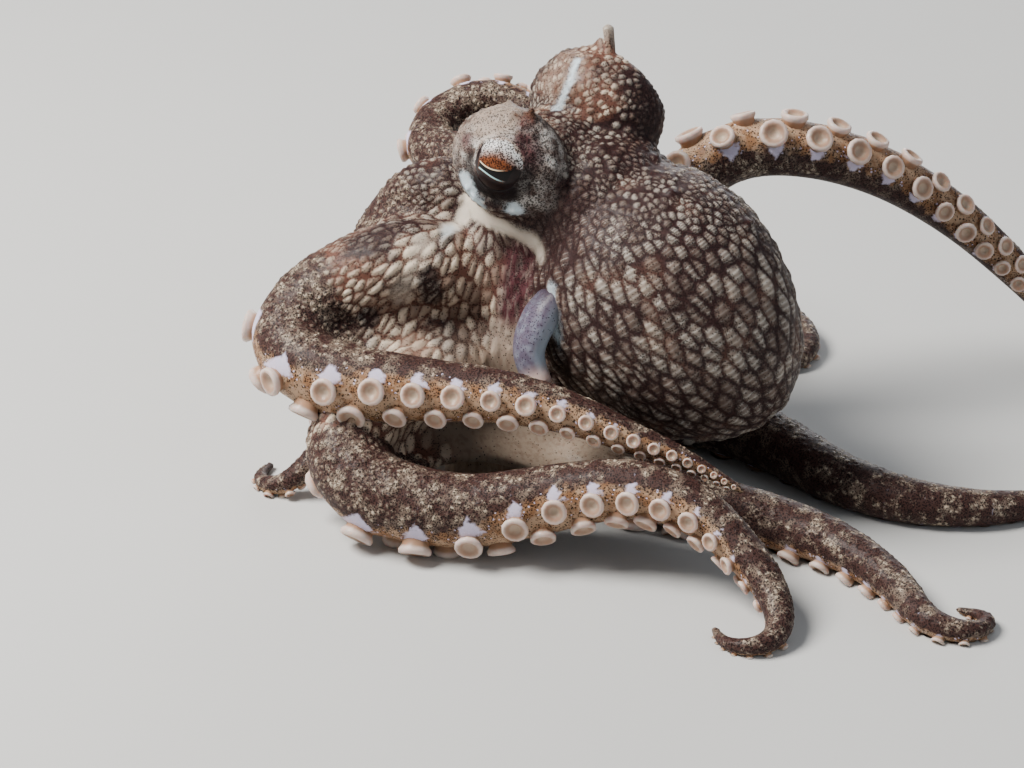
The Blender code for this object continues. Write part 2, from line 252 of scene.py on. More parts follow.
def add_object(name: str, data: bpy.types.ID) -> bpy.types.Object:
    """A new object at the origin that holds this mesh, lamp or camera."""
    obj = bpy.data.objects.new(name, data)
    bpy.context.scene.collection.objects.link(obj)
    return obj


def finished(obj: bpy.types.Object) -> bpy.types.Object:
    """The object with its modifiers applied to its mesh.

    Args:
        obj: the object, which is kept.

    Returns:
        The same object, without modifiers.
    """
    bpy.context.view_layer.update()
    graph = bpy.context.evaluated_depsgraph_get()
    mesh = bpy.data.meshes.new_from_object(obj.evaluated_get(graph), preserve_all_data_layers=True,
                                           depsgraph=graph)
    obj.modifiers.clear()
    obj.data = mesh
    return obj


def taken(items: bpy.types.bpy_prop_collection, name: str, kind: type, width: int = 1) -> np.ndarray:
    """What each point, edge or corner of a mesh says.

    Args:
        items: the points, edges or corners.
        name: the property's name.
        kind: the array's number type.
        width: how many numbers each item holds.

    Returns:
        A row for each item, or a plain list of numbers where each holds one.
    """
    values = np.empty(len(items) * width, kind)
    items.foreach_get(name, values)
    return values.reshape(-1, width) if width > 1 else values


def store(mesh: bpy.types.Mesh, name: str, values: np.ndarray) -> None:
    """Keeps one number or one vector for each point of the mesh, for its material to read.

    Args:
        mesh: the mesh.
        name: the attribute's name.
        values: an array with a row for each point.
    """
    if values.ndim == 2:
        mesh.attributes.new(name, "FLOAT_VECTOR", "POINT").data.foreach_set(
            "vector", values.astype(np.float32).ravel())
    else:
        mesh.attributes.new(name, "FLOAT", "POINT").data.foreach_set("value", values.astype(np.float32))


# ---------------------------------------------------------------- materials


def paint(red: int, green: int, blue: int) -> tuple[float, float, float, float]:
    """A screen colour as the light value that a shader takes.

    Args:
        red: from 0 to 255.
        green: from 0 to 255.
        blue: from 0 to 255.

    Returns:
        Linear red, green, blue and an alpha of one.
    """
    shares = np.array([red, green, blue]) / 255
    linear = np.where(shares <= 0.04045, shares / 12.92, ((shares + 0.055) / 1.055) ** 2.4)
    return (*(float(v) for v in linear), 1.0)


class Wire:
    """A number or a colour on its way through a material, and the sums that can be done with it."""

    def __init__(self, recipe: Recipe, socket: bpy.types.NodeSocket) -> None:
        """Holds one node's output."""
        self.recipe, self.socket = recipe, socket

    def __add__(self, other: Value) -> Wire:
        """The sum of the two."""
        return self.recipe.math("ADD", self, other)

    def __sub__(self, other: Value) -> Wire:
        """The first less the second."""
        return self.recipe.math("SUBTRACT", self, other)

    def __mul__(self, other: Value) -> Wire:
        """The product of the two."""
        return self.recipe.math("MULTIPLY", self, other)

    def __pow__(self, other: Value) -> Wire:
        """The first to the power of the second."""
        return self.recipe.math("POWER", self, other)

    def __or__(self, other: Value) -> Wire:
        """The larger of the two."""
        return self.recipe.math("MAXIMUM", self, other)

    def rise(self, low: Value, high: Value, start: Value = 0.0, end: Value = 1.0) -> Wire:
        """A smooth rise from start, where the number is low, to end, where it is high."""
        made = self.recipe.node("ShaderNodeMapRange", {"interpolation_type": "SMOOTHSTEP"}, Value=self,
                                From_Min=low, From_Max=high, To_Min=start, To_Max=end)
        return Wire(self.recipe, made.outputs[0])

    def to(self, colour: Value, share: Value) -> Wire:
        """This colour turned into another one, by a share."""
        return self.recipe.blend(share, self, colour)


class Recipe:
    """A material's node tree and short ways to add to it. Lengths are in millimetres."""

    def __init__(self, name: str) -> None:
        """Starts a material with the plain shader and with object coordinates in millimetres."""
        self.material = bpy.data.materials.new(name)
        self.material.use_nodes = True
        self.tree = self.material.node_tree
        self.shader = self.tree.nodes["Principled BSDF"]
        metres = self.node("ShaderNodeTexCoord").outputs["Object"]
        self.place = self.node("ShaderNodeVectorMath", {"operation": "SCALE"}, Vector=metres,
                               Scale=1 / MM).outputs[0]

    def feed(self, socket: bpy.types.NodeSocket, value: Value) -> None:
        """Links a socket or sets a plain value."""
        value = value.socket if isinstance(value, Wire) else value
        if isinstance(value, bpy.types.NodeSocket):
            self.tree.links.new(value, socket)
        else:
            socket.default_value = value

    def node(self, kind: str, settings: dict | None = None, **inputs: Value) -> bpy.types.Node:
        """Adds a node.

        Args:
            kind: the node's type name.
            settings: its own settings by name.
            **inputs: its inputs by name, with an underscore for each space.

        Returns:
            The node.
        """
        made = self.tree.nodes.new(kind)
        for name, value in (settings or {}).items():
            setattr(made, name, value)
        for name, value in inputs.items():
            self.feed(made.inputs[name.replace("_", " ")], value)
        return made

    def stored(self, name: str) -> Wire:
        """A number that the mesh stores."""
        return Wire(self, self.node("ShaderNodeAttribute", {"attribute_name": name}).outputs["Fac"])

    def parts(self, name: str) -> list[Wire]:
        """The three parts of a vector that the mesh stores."""
        whole = self.node("ShaderNodeAttribute", {"attribute_name": name}).outputs["Vector"]
        return [Wire(self, part) for part in self.node("ShaderNodeSeparateXYZ", Vector=whole).outputs]

    def math(self, operation: str, first: Value, second: Value = 0.0, clamp: bool = False) -> Wire:
        """One sum of two numbers."""
        made = self.node("ShaderNodeMath", {"operation": operation, "use_clamp": clamp})
        self.feed(made.inputs[0], first)
        self.feed(made.inputs[1], second)
        return Wire(self, made.outputs[0])

    def blend(self, share: Value, first: Value, second: Value) -> Wire:
        """Two colours mixed by share."""
        made = self.node("ShaderNodeMix", {"data_type": "RGBA"}, Factor=share)
        self.feed(made.inputs[6], first)
        self.feed(made.inputs[7], second)
        return Wire(self, made.outputs[2])

    def noise(self, scale: float, detail: float = 2.0, roughness: float = 0.5,
              where: bpy.types.NodeSocket | None = None) -> Wire:
        """Soft noise from nought to one, with so many waves to the millimetre."""
        made = self.node("ShaderNodeTexNoise", Vector=self.place if where is None else where, Scale=scale,
                         Detail=detail, Roughness=roughness)
        return Wire(self, made.outputs["Fac"])

    def swing(self, width: float, *noise: float) -> Wire:
        """The same noise about nought and this wide, to make an edge ragged."""
        return (self.noise(*noise) - 0.5) * width

    def dots(self, spacing: float, size: Value, share: Value, softness: float = 0.14) -> Wire:
        """Small round spots, one at most in each cell.

        Args:
            spacing: the cells' width in millimetres.
            size: a spot's radius as a share of the cell's width.
            share: how many of the cells hold a spot, from nought to one.
            softness: the width of a spot's soft edge, as a share of the cell's width.

        Returns:
            One inside a spot, nought outside.
        """
        cell = self.node("ShaderNodeTexVoronoi", Vector=self.place, Scale=1.0 / spacing)
        chance = self.node("ShaderNodeSeparateColor", Color=cell.outputs["Color"]).outputs[0]
        far = Wire(self, cell.outputs["Distance"])
        spot = far.rise(size, self.math("ADD", size, softness), 1.0, 0.0)
        return spot * self.math("LESS_THAN", chance, share)

    def bump(self, height: Value, depth: float, strength: float = 1.0) -> None:
        """Gives the shader relief this many millimetres deep."""
        made = self.node("ShaderNodeBump", Height=height, Distance=depth * MM, Strength=strength)
        self.feed(self.shader.inputs["Normal"], made.outputs["Normal"])

    def flesh(self, colour: Value, rough: Point, subsurface: float, reach: float,
              gloss: float) -> bpy.types.Material:
        """Finishes the material as wet flesh.

        Args:
            colour: its colour.
            rough: the waves to the millimetre that the roughness follows, and its two ends.
            subsurface: the share of light that goes in.
            reach: how far red light goes in, in millimetres.
            gloss: the weight of the wet film.

        Returns:
            The material.
        """
        scale, smooth, coarse = rough
        inputs = self.shader.inputs
        self.feed(inputs["Base Color"], colour)
        self.feed(inputs["Roughness"], self.noise(scale).rise(0.2, 0.8, smooth, coarse))
        inputs["Subsurface Weight"].default_value = subsurface
        inputs["Subsurface Radius"].default_value = (1.0, 0.42, 0.26)
        inputs["Subsurface Scale"].default_value = reach * MM
        inputs["Coat Weight"].default_value = gloss
        inputs["Coat Roughness"].default_value = 0.14
        inputs["Specular IOR Level"].default_value = 0.12
        return self.material


@dataclass(frozen=True)
class SkinFinish:
    """Netted, stippled skin: pale cells between dark veins on the body, and dark backs, tan sides
    and cream undersides on the arms."""

    pale_cell: tuple = paint(226, 206, 182)
    grey_cell: tuple = paint(146, 137, 127)
    dark_cell: tuple = paint(92, 76, 70)
    warm_cell: tuple = paint(140, 114, 94)
    light_cell: tuple = paint(206, 204, 198)
    pale_ground: tuple = paint(184, 178, 172)
    brown_vein: tuple = paint(98, 65, 54)
    dark_vein: tuple = paint(50, 31, 30)
    ink: tuple = paint(22, 13, 13)
    # Near-black: painted shade below and beside the left eye, over the dark skin there.
    soot: tuple = paint(18, 12, 14)
    back_light: tuple = paint(182, 166, 146)
    back_dark: tuple = paint(66, 45, 41)
    tan_side: tuple = paint(132, 96, 68)
    cream_side: tuple = paint(166, 138, 112)
    pearl: tuple = paint(214, 206, 230)
    cream: tuple = paint(206, 194, 178)
    blue: tuple = paint(208, 224, 232)
    maroon: tuple = paint(76, 42, 46)
    warm: tuple = paint(158, 140, 126)
    orange: tuple = paint(94, 60, 44)
    belly: tuple = paint(184, 154, 128)
    inside: tuple = paint(142, 126, 110)
    bars: float = 17.0

    def dress(self) -> bpy.types.Material:
        """Builds the material.

        Returns:
            The skin's material, which reads the numbers that the skin's mesh stores.
        """
        g = Recipe("octopus_skin")
        colour, height = self._body(g)
        arm, arm_height = self._arm(g)
        armness = (g.stored("armness") + g.swing(0.8, 0.7, 3.0)).rise(0.42, 0.58)
        triangle = (g.stored("pearl") + g.swing(0.5, 2.2)).rise(-0.05, 0.3, 0.0, 0.84)
        colour = colour.to(arm, armness).to(self.pearl, triangle)
        height = height + (arm_height - height) * armness
        g.bump(height + g.noise(5.0, 3.0) * 0.35, 0.16, 0.9)
        return g.flesh(colour, (1.3, 0.46, 0.64), 0.12, 0.5, 0.035)

    def _body(self, g: Recipe) -> tuple[Wire, Wire]:
        """Colour and height of the head, mantle and webs.

        Args:
            g: the recipe.

        Returns:
            The colour and the height.
        """
        along, far, tone = g.parts("oval")
        far = far + g.swing(0.6, 1.7, 5.0, 0.72)
        plain, warm, inner, ink, cream, blue, mantle = map(
            g.stored, ("plain", "warm", "inner", "ink", "cream", "blue", "mantle"))
        # How dark the skin is: mostly its own colouring, and painted shade where a few patches darken the
        # back of the head.
        shade = g.math("ADD", g.stored("shade"), g.noise(0.2, 3.0).rise(0.3, 0.7, -0.25, 0.25), True)
        cell = g.blend(shade.rise(0.05, 0.5), self.pale_cell, self.grey_cell)
        cell = cell.to(self.dark_cell, shade.rise(0.65, 1.0))
        cell = cell.to(self.warm_cell, tone.rise(0.0, 1.0, 0.4, 0.0))
        cell = cell.to(self.light_cell, far.rise(0.6, 0.0, 0.0, 0.2))
        bars = g.math("SINE", along * self.bars)
        cell = cell.to(self.dark_cell, mantle * bars.rise(-0.2, 0.9, 0.0, 0.45))
        cell = cell.to(self.light_cell, mantle * bars.rise(-0.6, -1.0, 0.0, 0.35))
        edge = shade.rise(0.0, 1.0, 1.1, 1.0)
        share = far.rise(edge, edge - 0.5) * tone.rise(0.0, 0.7, 0.35, 1.0)
        share = share * g.stored("faint").rise(0.0, 1.0, 1.0, 0.3)
        vein = g.blend(shade.rise(0.1, 0.6), self.brown_vein, self.dark_vein)
        ground = g.blend(g.noise(0.6, 3.0).rise(0.35, 0.65), self.dark_cell, self.pale_ground)
        rusty = g.stored("orange") * g.noise(0.5, 3.0, 0.6).rise(0.44, 0.6)
        # The dark patches lay near-black painted shade below and beside the left eye.
        colour = vein.to(cell, share).to(ground, plain).to(self.soot, g.stored("dark"))
        colour = colour.to(self.warm, warm).to(self.orange, rusty)
        drawn_out = g.node("ShaderNodeMapping", Vector=g.place, Scale=(1.0, 1.0, 0.16)).outputs[0]
        streaks = g.noise(1.6, 3.0, where=drawn_out)
        maroon = g.blend(streaks.rise(0.45, 0.75, 0.0, 0.25), self.maroon, self.cream)
        lining = g.blend(streaks.rise(0.42, 0.7, 0.0, 0.4), self.inside, self.brown_vein)
        colour = colour.to(maroon, g.stored("maroon")).to(lining, inner)
        colour = colour.to(self.cream, cream).to(self.blue, blue)
        crowd = far.rise(0.4, 0.95, 0.08, 0.95) * shade.rise(0.0, 0.6, 0.4, 1.0)
        crowd = (crowd * warm.rise(0.0, 1.0, 1.0, 0.45) * inner.rise(0.0, 1.0, 1.0, 0.05)) | ink
        specks = g.dots(0.2, 0.36, crowd) | g.dots(0.33, ink.rise(0.0, 1.0, 0.26, 0.42), crowd * 0.7)
        specks = specks * cream.rise(0.0, 0.8, 0.8, 0.03) * blue.rise(0.2, 0.8, 1.0, 0.1)
        height = far.rise(1.0, 0.1) * plain.rise(0.0, 1.0, 1.0, 0.15) * cream.rise(0.0, 0.7, 1.0, 0.0)
        return colour.to(self.ink, specks), height

    def _arm(self, g: Recipe) -> tuple[Wire, Wire]:
        """Colour and height of the arms.

        Args:
            g: the recipe.

        Returns:
            The colour and the height.
        """
        under = g.stored("under") + g.swing(0.9, 0.9, 4.0, 0.6)
        mottle = g.noise(0.42, 5.0, 0.7).rise(0.46, 0.6)
        pebble = g.parts("oval")[1] + g.swing(0.7, 1.8, 3.0)
        rooted = g.stored("root") * mottle.rise(0.0, 1.0, 0.45, 0.9) * pebble.rise(0.95, 0.4)
        light = (mottle * pebble.rise(1.05, 0.45, 0.25, 1.0)) | rooted
        back = g.blend(light, self.back_dark, self.back_light)
        side = g.blend(g.noise(0.6, 3.0).rise(0.4, 0.65), self.tan_side, self.cream_side)
        below = g.blend(g.noise(0.5), self.cream_side, self.belly)
        colour = back.to(side, under.rise(0.46, 0.7)).to(below, under.rise(0.85, 1.1))
        crowd = under.rise(0.5, 1.1, 0.98, 0.4) * light.rise(0.0, 1.0, 1.0, 0.75)
        specks = g.dots(0.22, 0.32, crowd) | g.dots(0.36, 0.3, crowd * 0.75)
        band = under.rise(0.4, 0.6) * under.rise(0.85, 0.98, 1.0, 0.0)
        colour = colour.to(self.pearl, g.dots(0.5, 0.2, band * 0.3) * 0.8).to(self.ink, specks * 0.88)
        return colour, pebble.rise(1.0, 0.1) * under.rise(-0.1, 0.4, 0.7, 0.1)


@dataclass(frozen=True)
class SuckerFinish:
    """Milky pink-cream cups with a paler rim and a paler button in the middle."""

    rim: tuple = paint(204, 187, 178)
    bowl: tuple = paint(160, 130, 110)
    button: tuple = paint(186, 164, 144)
    stalk: tuple = paint(166, 130, 104)

    def dress(self) -> bpy.types.Material:
        """Builds the material, which reads how far out each point of a cup is.

        Returns:
            The material.
        """
        g = Recipe("sucker_flesh")
        out = g.stored("cup")
        colour = g.blend(out.rise(0.3, 0.5), self.button, self.bowl).to(self.rim, out.rise(0.6, 0.86))
        colour = colour.to(self.stalk, out.rise(1.05, 1.4))
        colour = colour.to(self.bowl, g.noise(0.8).rise(0.35, 0.75, 0.0, 0.35))
        g.bump(g.noise(4.0), 0.05, 0.6)
        return g.flesh(colour, (2.0, 0.3, 0.46), 0.35, 1.1, 0.14)


@dataclass(frozen=True)
class SiphonFinish:
    """Thin lavender-blue flesh with dark specks and a pale rim."""

    body: tuple = paint(92, 84, 100)
    lit: tuple = paint(164, 176, 188)
    shadow: tuple = paint(44, 32, 38)
    rim: tuple = paint(190, 164, 154)
    ink: tuple = paint(44, 34, 52)

    def dress(self) -> bpy.types.Material:
        """Builds the material, which reads how near each point is to the mouth and how it faces.

        Returns:
            The material.
        """
        g = Recipe("siphon_flesh")
        mouth, lit = g.stored("mouth"), g.stored("lit")
        colour = g.blend(g.noise(0.9, 3.0).rise(0.4, 0.75, 0.0, 0.3), self.body, self.lit)
        colour = colour.to(self.lit, lit.rise(0.45, 0.95, 0.0, 0.9)).to(self.rim, mouth.rise(0.84, 0.99))
        specks = g.dots(0.22, 0.34, mouth.rise(0.5, 0.95, 0.8, 0.1) * lit.rise(0.2, 0.8, 1.0, 0.1))
        colour = colour.to(self.shadow, mouth.rise(0.55, 0.28)).to(self.ink, specks * 0.8)
        g.bump(g.noise(3.0, 3.0), 0.06, 0.7)
        return g.flesh(colour, (1.5, 0.3, 0.45), 0.2, 0.9, 0.04)


@dataclass(frozen=True)
class EyeFinish:
    """A silver and orange upper iris with dark specks, a black slit with pale edges, and a dark
    maroon lower iris."""

    silver: tuple = paint(210, 208, 206)
    lid: tuple = paint(158, 142, 132)
    orange: tuple = paint(116, 66, 40)
    maroon: tuple = paint(24, 15, 17)
    speck: tuple = paint(30, 16, 14)
    black: tuple = paint(2, 2, 2)
    pale_edge: tuple = paint(222, 206, 176)
    blue_edge: tuple = paint(176, 222, 226)

    def dress(self) -> bpy.types.Material:
        """Builds the material, which reads each point's place about the pupil, in the eye's radii.

        Returns:
            The material.
        """
        g = Recipe("octopus_eye")
        along, up, _ = g.parts("gaze")
        stir = g.swing(0.2, 1.6)
        rim = up + (along + 0.05) ** 2.0 * 0.75 + stir
        bottom = up - along.rise(-0.6, 0.3, -0.03, -0.22)
        right = along + up * -0.35
        colour = g.blend(rim.rise(0.36, 0.78), self.orange, self.silver).to(self.lid, rim.rise(0.81, 0.86))
        colour = colour.to(self.maroon, (bottom + stir * 0.5).rise(0.0, -0.13))
        colour = colour.to(self.maroon, right.rise(0.36, 0.43) * rim.rise(0.6, 0.46))
        colour = colour.to(self.maroon, along.rise(-0.54, -0.64) * rim.rise(0.9, 0.8))
        specks = g.dots(0.19, 0.4, rim.rise(0.85, 0.4, 0.6, 0.95)) | g.dots(0.3, 0.36, 0.65)
        top = up - ((along + 0.08) ** 2.0 * 0.36 + 0.035)
        slit = top.rise(0.012, -0.012) * bottom.rise(-0.012, 0.012)
        ends = along.rise(-0.57, -0.54) * right.rise(0.47, 0.43)
        lines = along.rise(0.35, 0.0) * ends
        over = top.rise(0.055, 0.035) * top.rise(0.0, 0.012)
        below = bottom.rise(-0.065, -0.04) * bottom.rise(0.0, -0.012)
        colour = colour.to(self.speck, specks * 0.9).to(self.pale_edge, over * lines)
        colour = colour.to(self.blue_edge, below * lines).to(self.black, slit * ends)
        g.bump(g.noise(3.0), 0.02, 0.3)
        return g.flesh(colour, (1.0, 0.3, 0.4), 0.05, 0.4, 0.15)


@dataclass(frozen=True)
class FloorFinish:
    """A plain pale matt floor."""

    colour: tuple = paint(196, 196, 194)
    shade: tuple = paint(168, 168, 166)

    def dress(self) -> bpy.types.Material:
        """Builds the material.

        Returns:
            The material.
        """
        g = Recipe("pale_floor")
        tint = g.noise(0.05, 3.0).rise(0.2, 0.8, 0.0, 0.05)
        g.feed(g.shader.inputs["Base Color"], g.blend(tint, self.colour, self.shade))
        g.shader.inputs["Roughness"].default_value = 0.85
        return g.material


# ---------------------------------------------------------------- arms


# How thick an arm of girth one is at its root and tip, and how slowly it thins, as a power.
ARM_ROOT_R = 4.5
ARM_TIP_R = 0.55
ARM_FULLNESS = 2.0
# How many of the frame's solids make up an arm.
ARM_LENGTHS = 3
# How deep the floor would cut into an arm that lies on it.
FLAT = 0.25
CROWN_AXIS_X = -1.5


@dataclass
class Arm:
    """One arm: its route from root to tip, its girth, where its web ends, and which way its
    suckers face at shares of its length."""

    name: str
    web_end: float
    girth: float
    route: tuple[Point, ...]
    faces: tuple[tuple[float, Point], ...]
    samples: int = 300
    rounds: int = 40
    row_angle: float = 0.40
    sucker_least: float = 0.12
    sucker_share: float = 0.44
    sucker_pitch: float = 1.44
    sucker_gap: float = 0.06
    first_sucker: float = 0.62
    bare_tip: float = 1.2
    mound_height: float = 0.22
    mound_slope: float = 1.1
    tip_taper: float = 0.55
    line: np.ndarray = field(init=False)
    along: np.ndarray = field(init=False)
    heading: np.ndarray = field(init=False)
    under: np.ndarray = field(init=False)
    side: np.ndarray = field(init=False)
    radii: np.ndarray = field(init=False)

    def __post_init__(self) -> None:
        """Works out the arm's middle line and the directions along it."""
        self.line, self.along = self._line()
        self.heading = unit(np.gradient(self.line, axis=0))
        shares = np.array([f[0] for f in self.faces])
        ways = unit(np.array([f[1] for f in self.faces], float))
        s = self.along / self.along[-1]
        way = read_off(s, shares, ways)
        self.under = unit(way - self.heading * np.sum(way * self.heading, axis=1, keepdims=True))
        self.side = np.cross(self.heading, self.under)
        self.radii = self.radius(s)

    def radius(self, share: np.ndarray) -> np.ndarray:
        """Tip radius plus the rest times one less the share to the fullness's power."""
        full = ARM_ROOT_R * self.girth - ARM_TIP_R
        return ARM_TIP_R + full * np.maximum(1 - share**ARM_FULLNESS, 0)

    def _line(self) -> tuple[np.ndarray, np.ndarray]:
        """A curve through the route, evenly spaced, eased by local averaging, and lifted to the
        arm's radius where it reaches the floor.

        Returns:
            The points and the distance along at each.
        """
        line = curve_through(np.array(self.route, float), self.samples)
        for _ in range(2):
            steps = np.linalg.norm(np.diff(line, axis=0), axis=1)
            gone = np.concatenate([[0], np.cumsum(steps)])
            even = np.linspace(0, gone[-1], self.samples)
            line = read_off(even, gone, line)
            floor = self.radius(even / gone[-1]) - FLAT
            line[:, 2] = np.maximum(line[:, 2], floor)
            for _ in range(self.rounds):
                line[1:-1] = 0.25 * line[:-2] + 0.5 * line[1:-1] + 0.25 * line[2:]
        line[:, 2] = np.maximum(line[:, 2], floor)
        return line, even

    def at(self, distance: np.ndarray, values: np.ndarray) -> np.ndarray:
        """Values kept along the arm, read at these distances.

        Args:
            distance: distances from the root, of any shape.
            values: a row for each sample.

        Returns:
            The values, with three columns where the rows have three.
        """
        if values.ndim == 1:
            return np.interp(distance, self.along, values)
        return read_off(distance, self.along, values)

    def sucker_places(self) -> tuple[np.ndarray, np.ndarray]:
        """Where the suckers sit: each a pitch of its radius past the last one, on the other row.

        Returns:
            Their distances along the arm, and the side of each as 1 or -1.
        """
        places = [self.web_end * self.first_sucker]
        while places[-1] < self.along[-1] - self.bare_tip:
            radius = float(self.sucker_radius(np.array(places[-1])))
            places.append(places[-1] + self.sucker_pitch * radius + self.sucker_gap)
        places = np.array(places)
        return places, np.where(np.arange(len(places)) % 2, 1.0, -1.0)

    def sucker_radius(self, distance: np.ndarray) -> np.ndarray:
        """A sucker's radius at this distance: about two fifths of the arm's."""
        return self.sucker_least + self.sucker_share * self.at(distance, self.radii) / self.girth**0.5

    def section(self, angle: np.ndarray) -> np.ndarray:
        """The section's radius as a share of the arm's: a tenth flatter on the suckers' side."""
        return 1.0 - 0.1 * np.maximum(np.cos(angle), 0) ** 2

    def shell(self, rings: int = 360, sides: int = 40) -> Shell:
        """The arm: its middle plus radius times section, with a low mound under each sucker.

        Args:
            rings: how many sections along it.
            sides: how many points round it.

        Returns:
            The closed shell, clear of the floor.
        """
        s = np.linspace(0, self.along[-1], rings)
        a = np.linspace(0, 2 * math.pi, sides, endpoint=False)
        places, rows = self.sucker_places()
        size = self.sucker_radius(places)
        turn = (a[None, :, None] - rows * self.row_angle + math.pi) % (2 * math.pi) - math.pi
        near = ((s[:, None, None] - places) / size) ** 2 + (turn * self.at(places, self.radii) / size) ** 2
        mound = (self.mound_height * size * np.exp(-near * self.mound_slope)).max(axis=-1)
        reach = self.at(s, self.radii)[:, None] * self.section(a)[None] + mound
        under, side = self.at(s, self.under)[:, None], self.at(s, self.side)[:, None]
        around = np.cos(a)[None, :, None] * under + np.sin(a)[None, :, None] * side
        grid = self.at(s, self.line)[:, None] + around * reach[..., None]
        tip = self.line[-1] + self.heading[-1] * ARM_TIP_R
        grid = np.concatenate([grid, (grid[-1:] - self.line[-1]) * self.tip_taper + tip])
        grid[..., 2] = np.maximum(grid[..., 2], 0.0)
        return wrapped(grid)


@dataclass
class Arms:
    """The eight arms, in the order in which they stand round the crown."""

    def build(self) -> list[Arm]:
        """The arms by the routes that the frame's own solids follow.

        Returns:
            The arms, right first arm first, then the left ones and the right ones backwards.
        """
        down = (0.0, 0.0, -1.0)
        return [
            Arm("r1", 22.0, 0.9,
                ((-5, 4, 22), (-10, 6, 31), (-17.5, 7, 33), (-24, 8.6, 32.4), (-27, 13.4, 34.2),
                 (-23.4, 19, 36.8), (-16.4, 20.6, 36), (-12, 16.6, 32.6), (-14.6, 12.8, 29.8),
                 (-19, 13.6, 28.6)),
                ((0.0, (0.3, 0.0, -1.0)), (0.3, (-0.5, 0.2, -0.9)), (0.45, (-0.9, 0.2, -0.1)),
                 (0.65, (-0.5, 0.6, 0.6)), (1.0, (0.6, 0.6, 0.5)))),
            Arm("l1", 28.0, 0.95,
                ((-4, -2, 20), (-9, -3, 32), (-14, -4, 34.5), (-19, -6, 30), (-22, -9, 22),
                 (-23, -12.5, 13.5), (-22.5, -16.5, 8.5), (-18.5, -21, 6.5), (-15.8, -24.8, 6.5),
                 (-17.5, -29.5, 3), (-21, -31.5, 0.5), (-24.5, -29.5, 0.5), (-25, -26, 0.5)),
                ((0.0, (0.6, 0.0, -1.0)), (0.3, (0.3, 0.5, -0.8)), (0.45, (-0.9, -0.2, -0.3)),
                 (0.6, (-0.7, -0.6, -0.6)), (1.0, (-0.3, -0.4, -1.0)))),
            Arm("l2", 30.0, 1.25,
                ((-4, -5, 22), (-10, -11.5, 28), (-16, -16.6, 26.6), (-20.4, -20.8, 23.6),
                 (-21.6, -25.4, 20.6), (-18.4, -28.8, 18.6), (-11, -28.6, 18), (-1, -25.4, 18.2),
                 (8, -22.2, 18.6), (16, -19.2, 17.6), (24, -16.2, 15), (31, -13.5, 12.6), (37, -12, 10)),
                ((0.0, (0.3, 0.2, -1.0)), (0.22, (-0.5, -0.3, -0.9)), (0.32, (-0.9, -0.4, -0.5)),
                 (0.42, (0.1, -0.9, -0.4)), (0.52, (0.5, -0.85, -0.08)), (1.0, (0.57, -0.82, -0.08)))),
            Arm("l3", 33.0, 1.25,
                ((-1, -8, 14), (-5, -16, 15), (-8.5, -23.5, 13.2), (-9.6, -30, 9.8), (-4.5, -33, 6.8),
                 (2, -31.6, 5.7), (9, -28.6, 5.6), (17.4, -23.8, 8), (26, -20, 10.4), (34, -18.6, 9.8),
                 (42, -19.5, 6.5), (49, -22.5, 3), (51.5, -28, 0.5), (47, -31, 0.5), (43.5, -28, 0.5)),
                ((0.0, (0.2, 0.2, -1.0)), (0.28, (-0.2, -0.2, -1.0)), (0.40, (0.1, -0.45, -0.9)),
                 (0.52, (0.4, -0.84, -0.3)), (0.72, (0.45, -0.8, -0.3)), (0.85, (0.2, -0.3, -0.9)),
                 (1.0, down))),
            Arm("l4", 23.0, 0.95,
                ((3, -6, 8), (9, -9, 4), (18, -10, 3), (28, -8, 3), (38, -6, 3), (48, -6, 2), (57, -9, 1),
                 (64, -13.5, 1), (69.5, -12, 1), (69, -7, 0.5), (65, -7.5, 0.5)),
                ((0.0, down), (0.5, (0.0, -0.45, -1.0)), (1.0, (0.2, -0.5, -1.0)))),
            Arm("r4", 23.0, 0.95,
                ((3, 6, 8), (10, 10, 4), (19, 12, 3), (29, 11, 3), (39, 8.5, 3), (48, 9, 2), (56, 13, 1),
                 (61.5, 19, 1), (67, 22.5, 1), (71.5, 20, 0.5), (69.5, 16.2, 0.5)),
                ((0.0, down), (0.5, (0.0, 0.45, -1.0)), (1.0, (-0.2, 0.5, -1.0)))),
            Arm("r3", 26.0, 0.95,
                ((-1, 7, 14), (3, 14, 21), (6.5, 20.5, 30), (11, 26, 35), (18, 32.5, 35), (26, 40, 31),
                 (33.5, 47, 24), (40, 53, 15.5), (46.5, 57, 7.5), (53.5, 57.5, 2), (59, 53.5, 0.5),
                 (57.5, 49, 0.5)),
                ((0.0, (0.3, -0.3, -1.0)), (0.25, (-0.5, -0.7, 0.5)), (0.5, (-0.2, -0.6, 0.8)),
                 (0.75, (0.6, -0.7, 0.2)), (1.0, (-0.2, -0.7, -0.9)))),
            Arm("r2", 26.0, 0.95,
                ((-4, 5, 20), (-7, 13, 20), (-11, 22, 15), (-13, 31, 8), (-10.5, 39, 2), (-3.5, 45, 2),
                 (6, 47, 2), (14, 43.5, 1), (16, 37, 1), (11.5, 33.8, 0.5), (8, 37, 0.5)),
                ((0.0, (0.3, -0.3, -1.0)), (0.3, (-0.4, 0.2, -0.9)), (0.6, (-0.1, 0.5, -1.0)),
                 (1.0, (0.1, 0.4, -1.0)))),
        ]


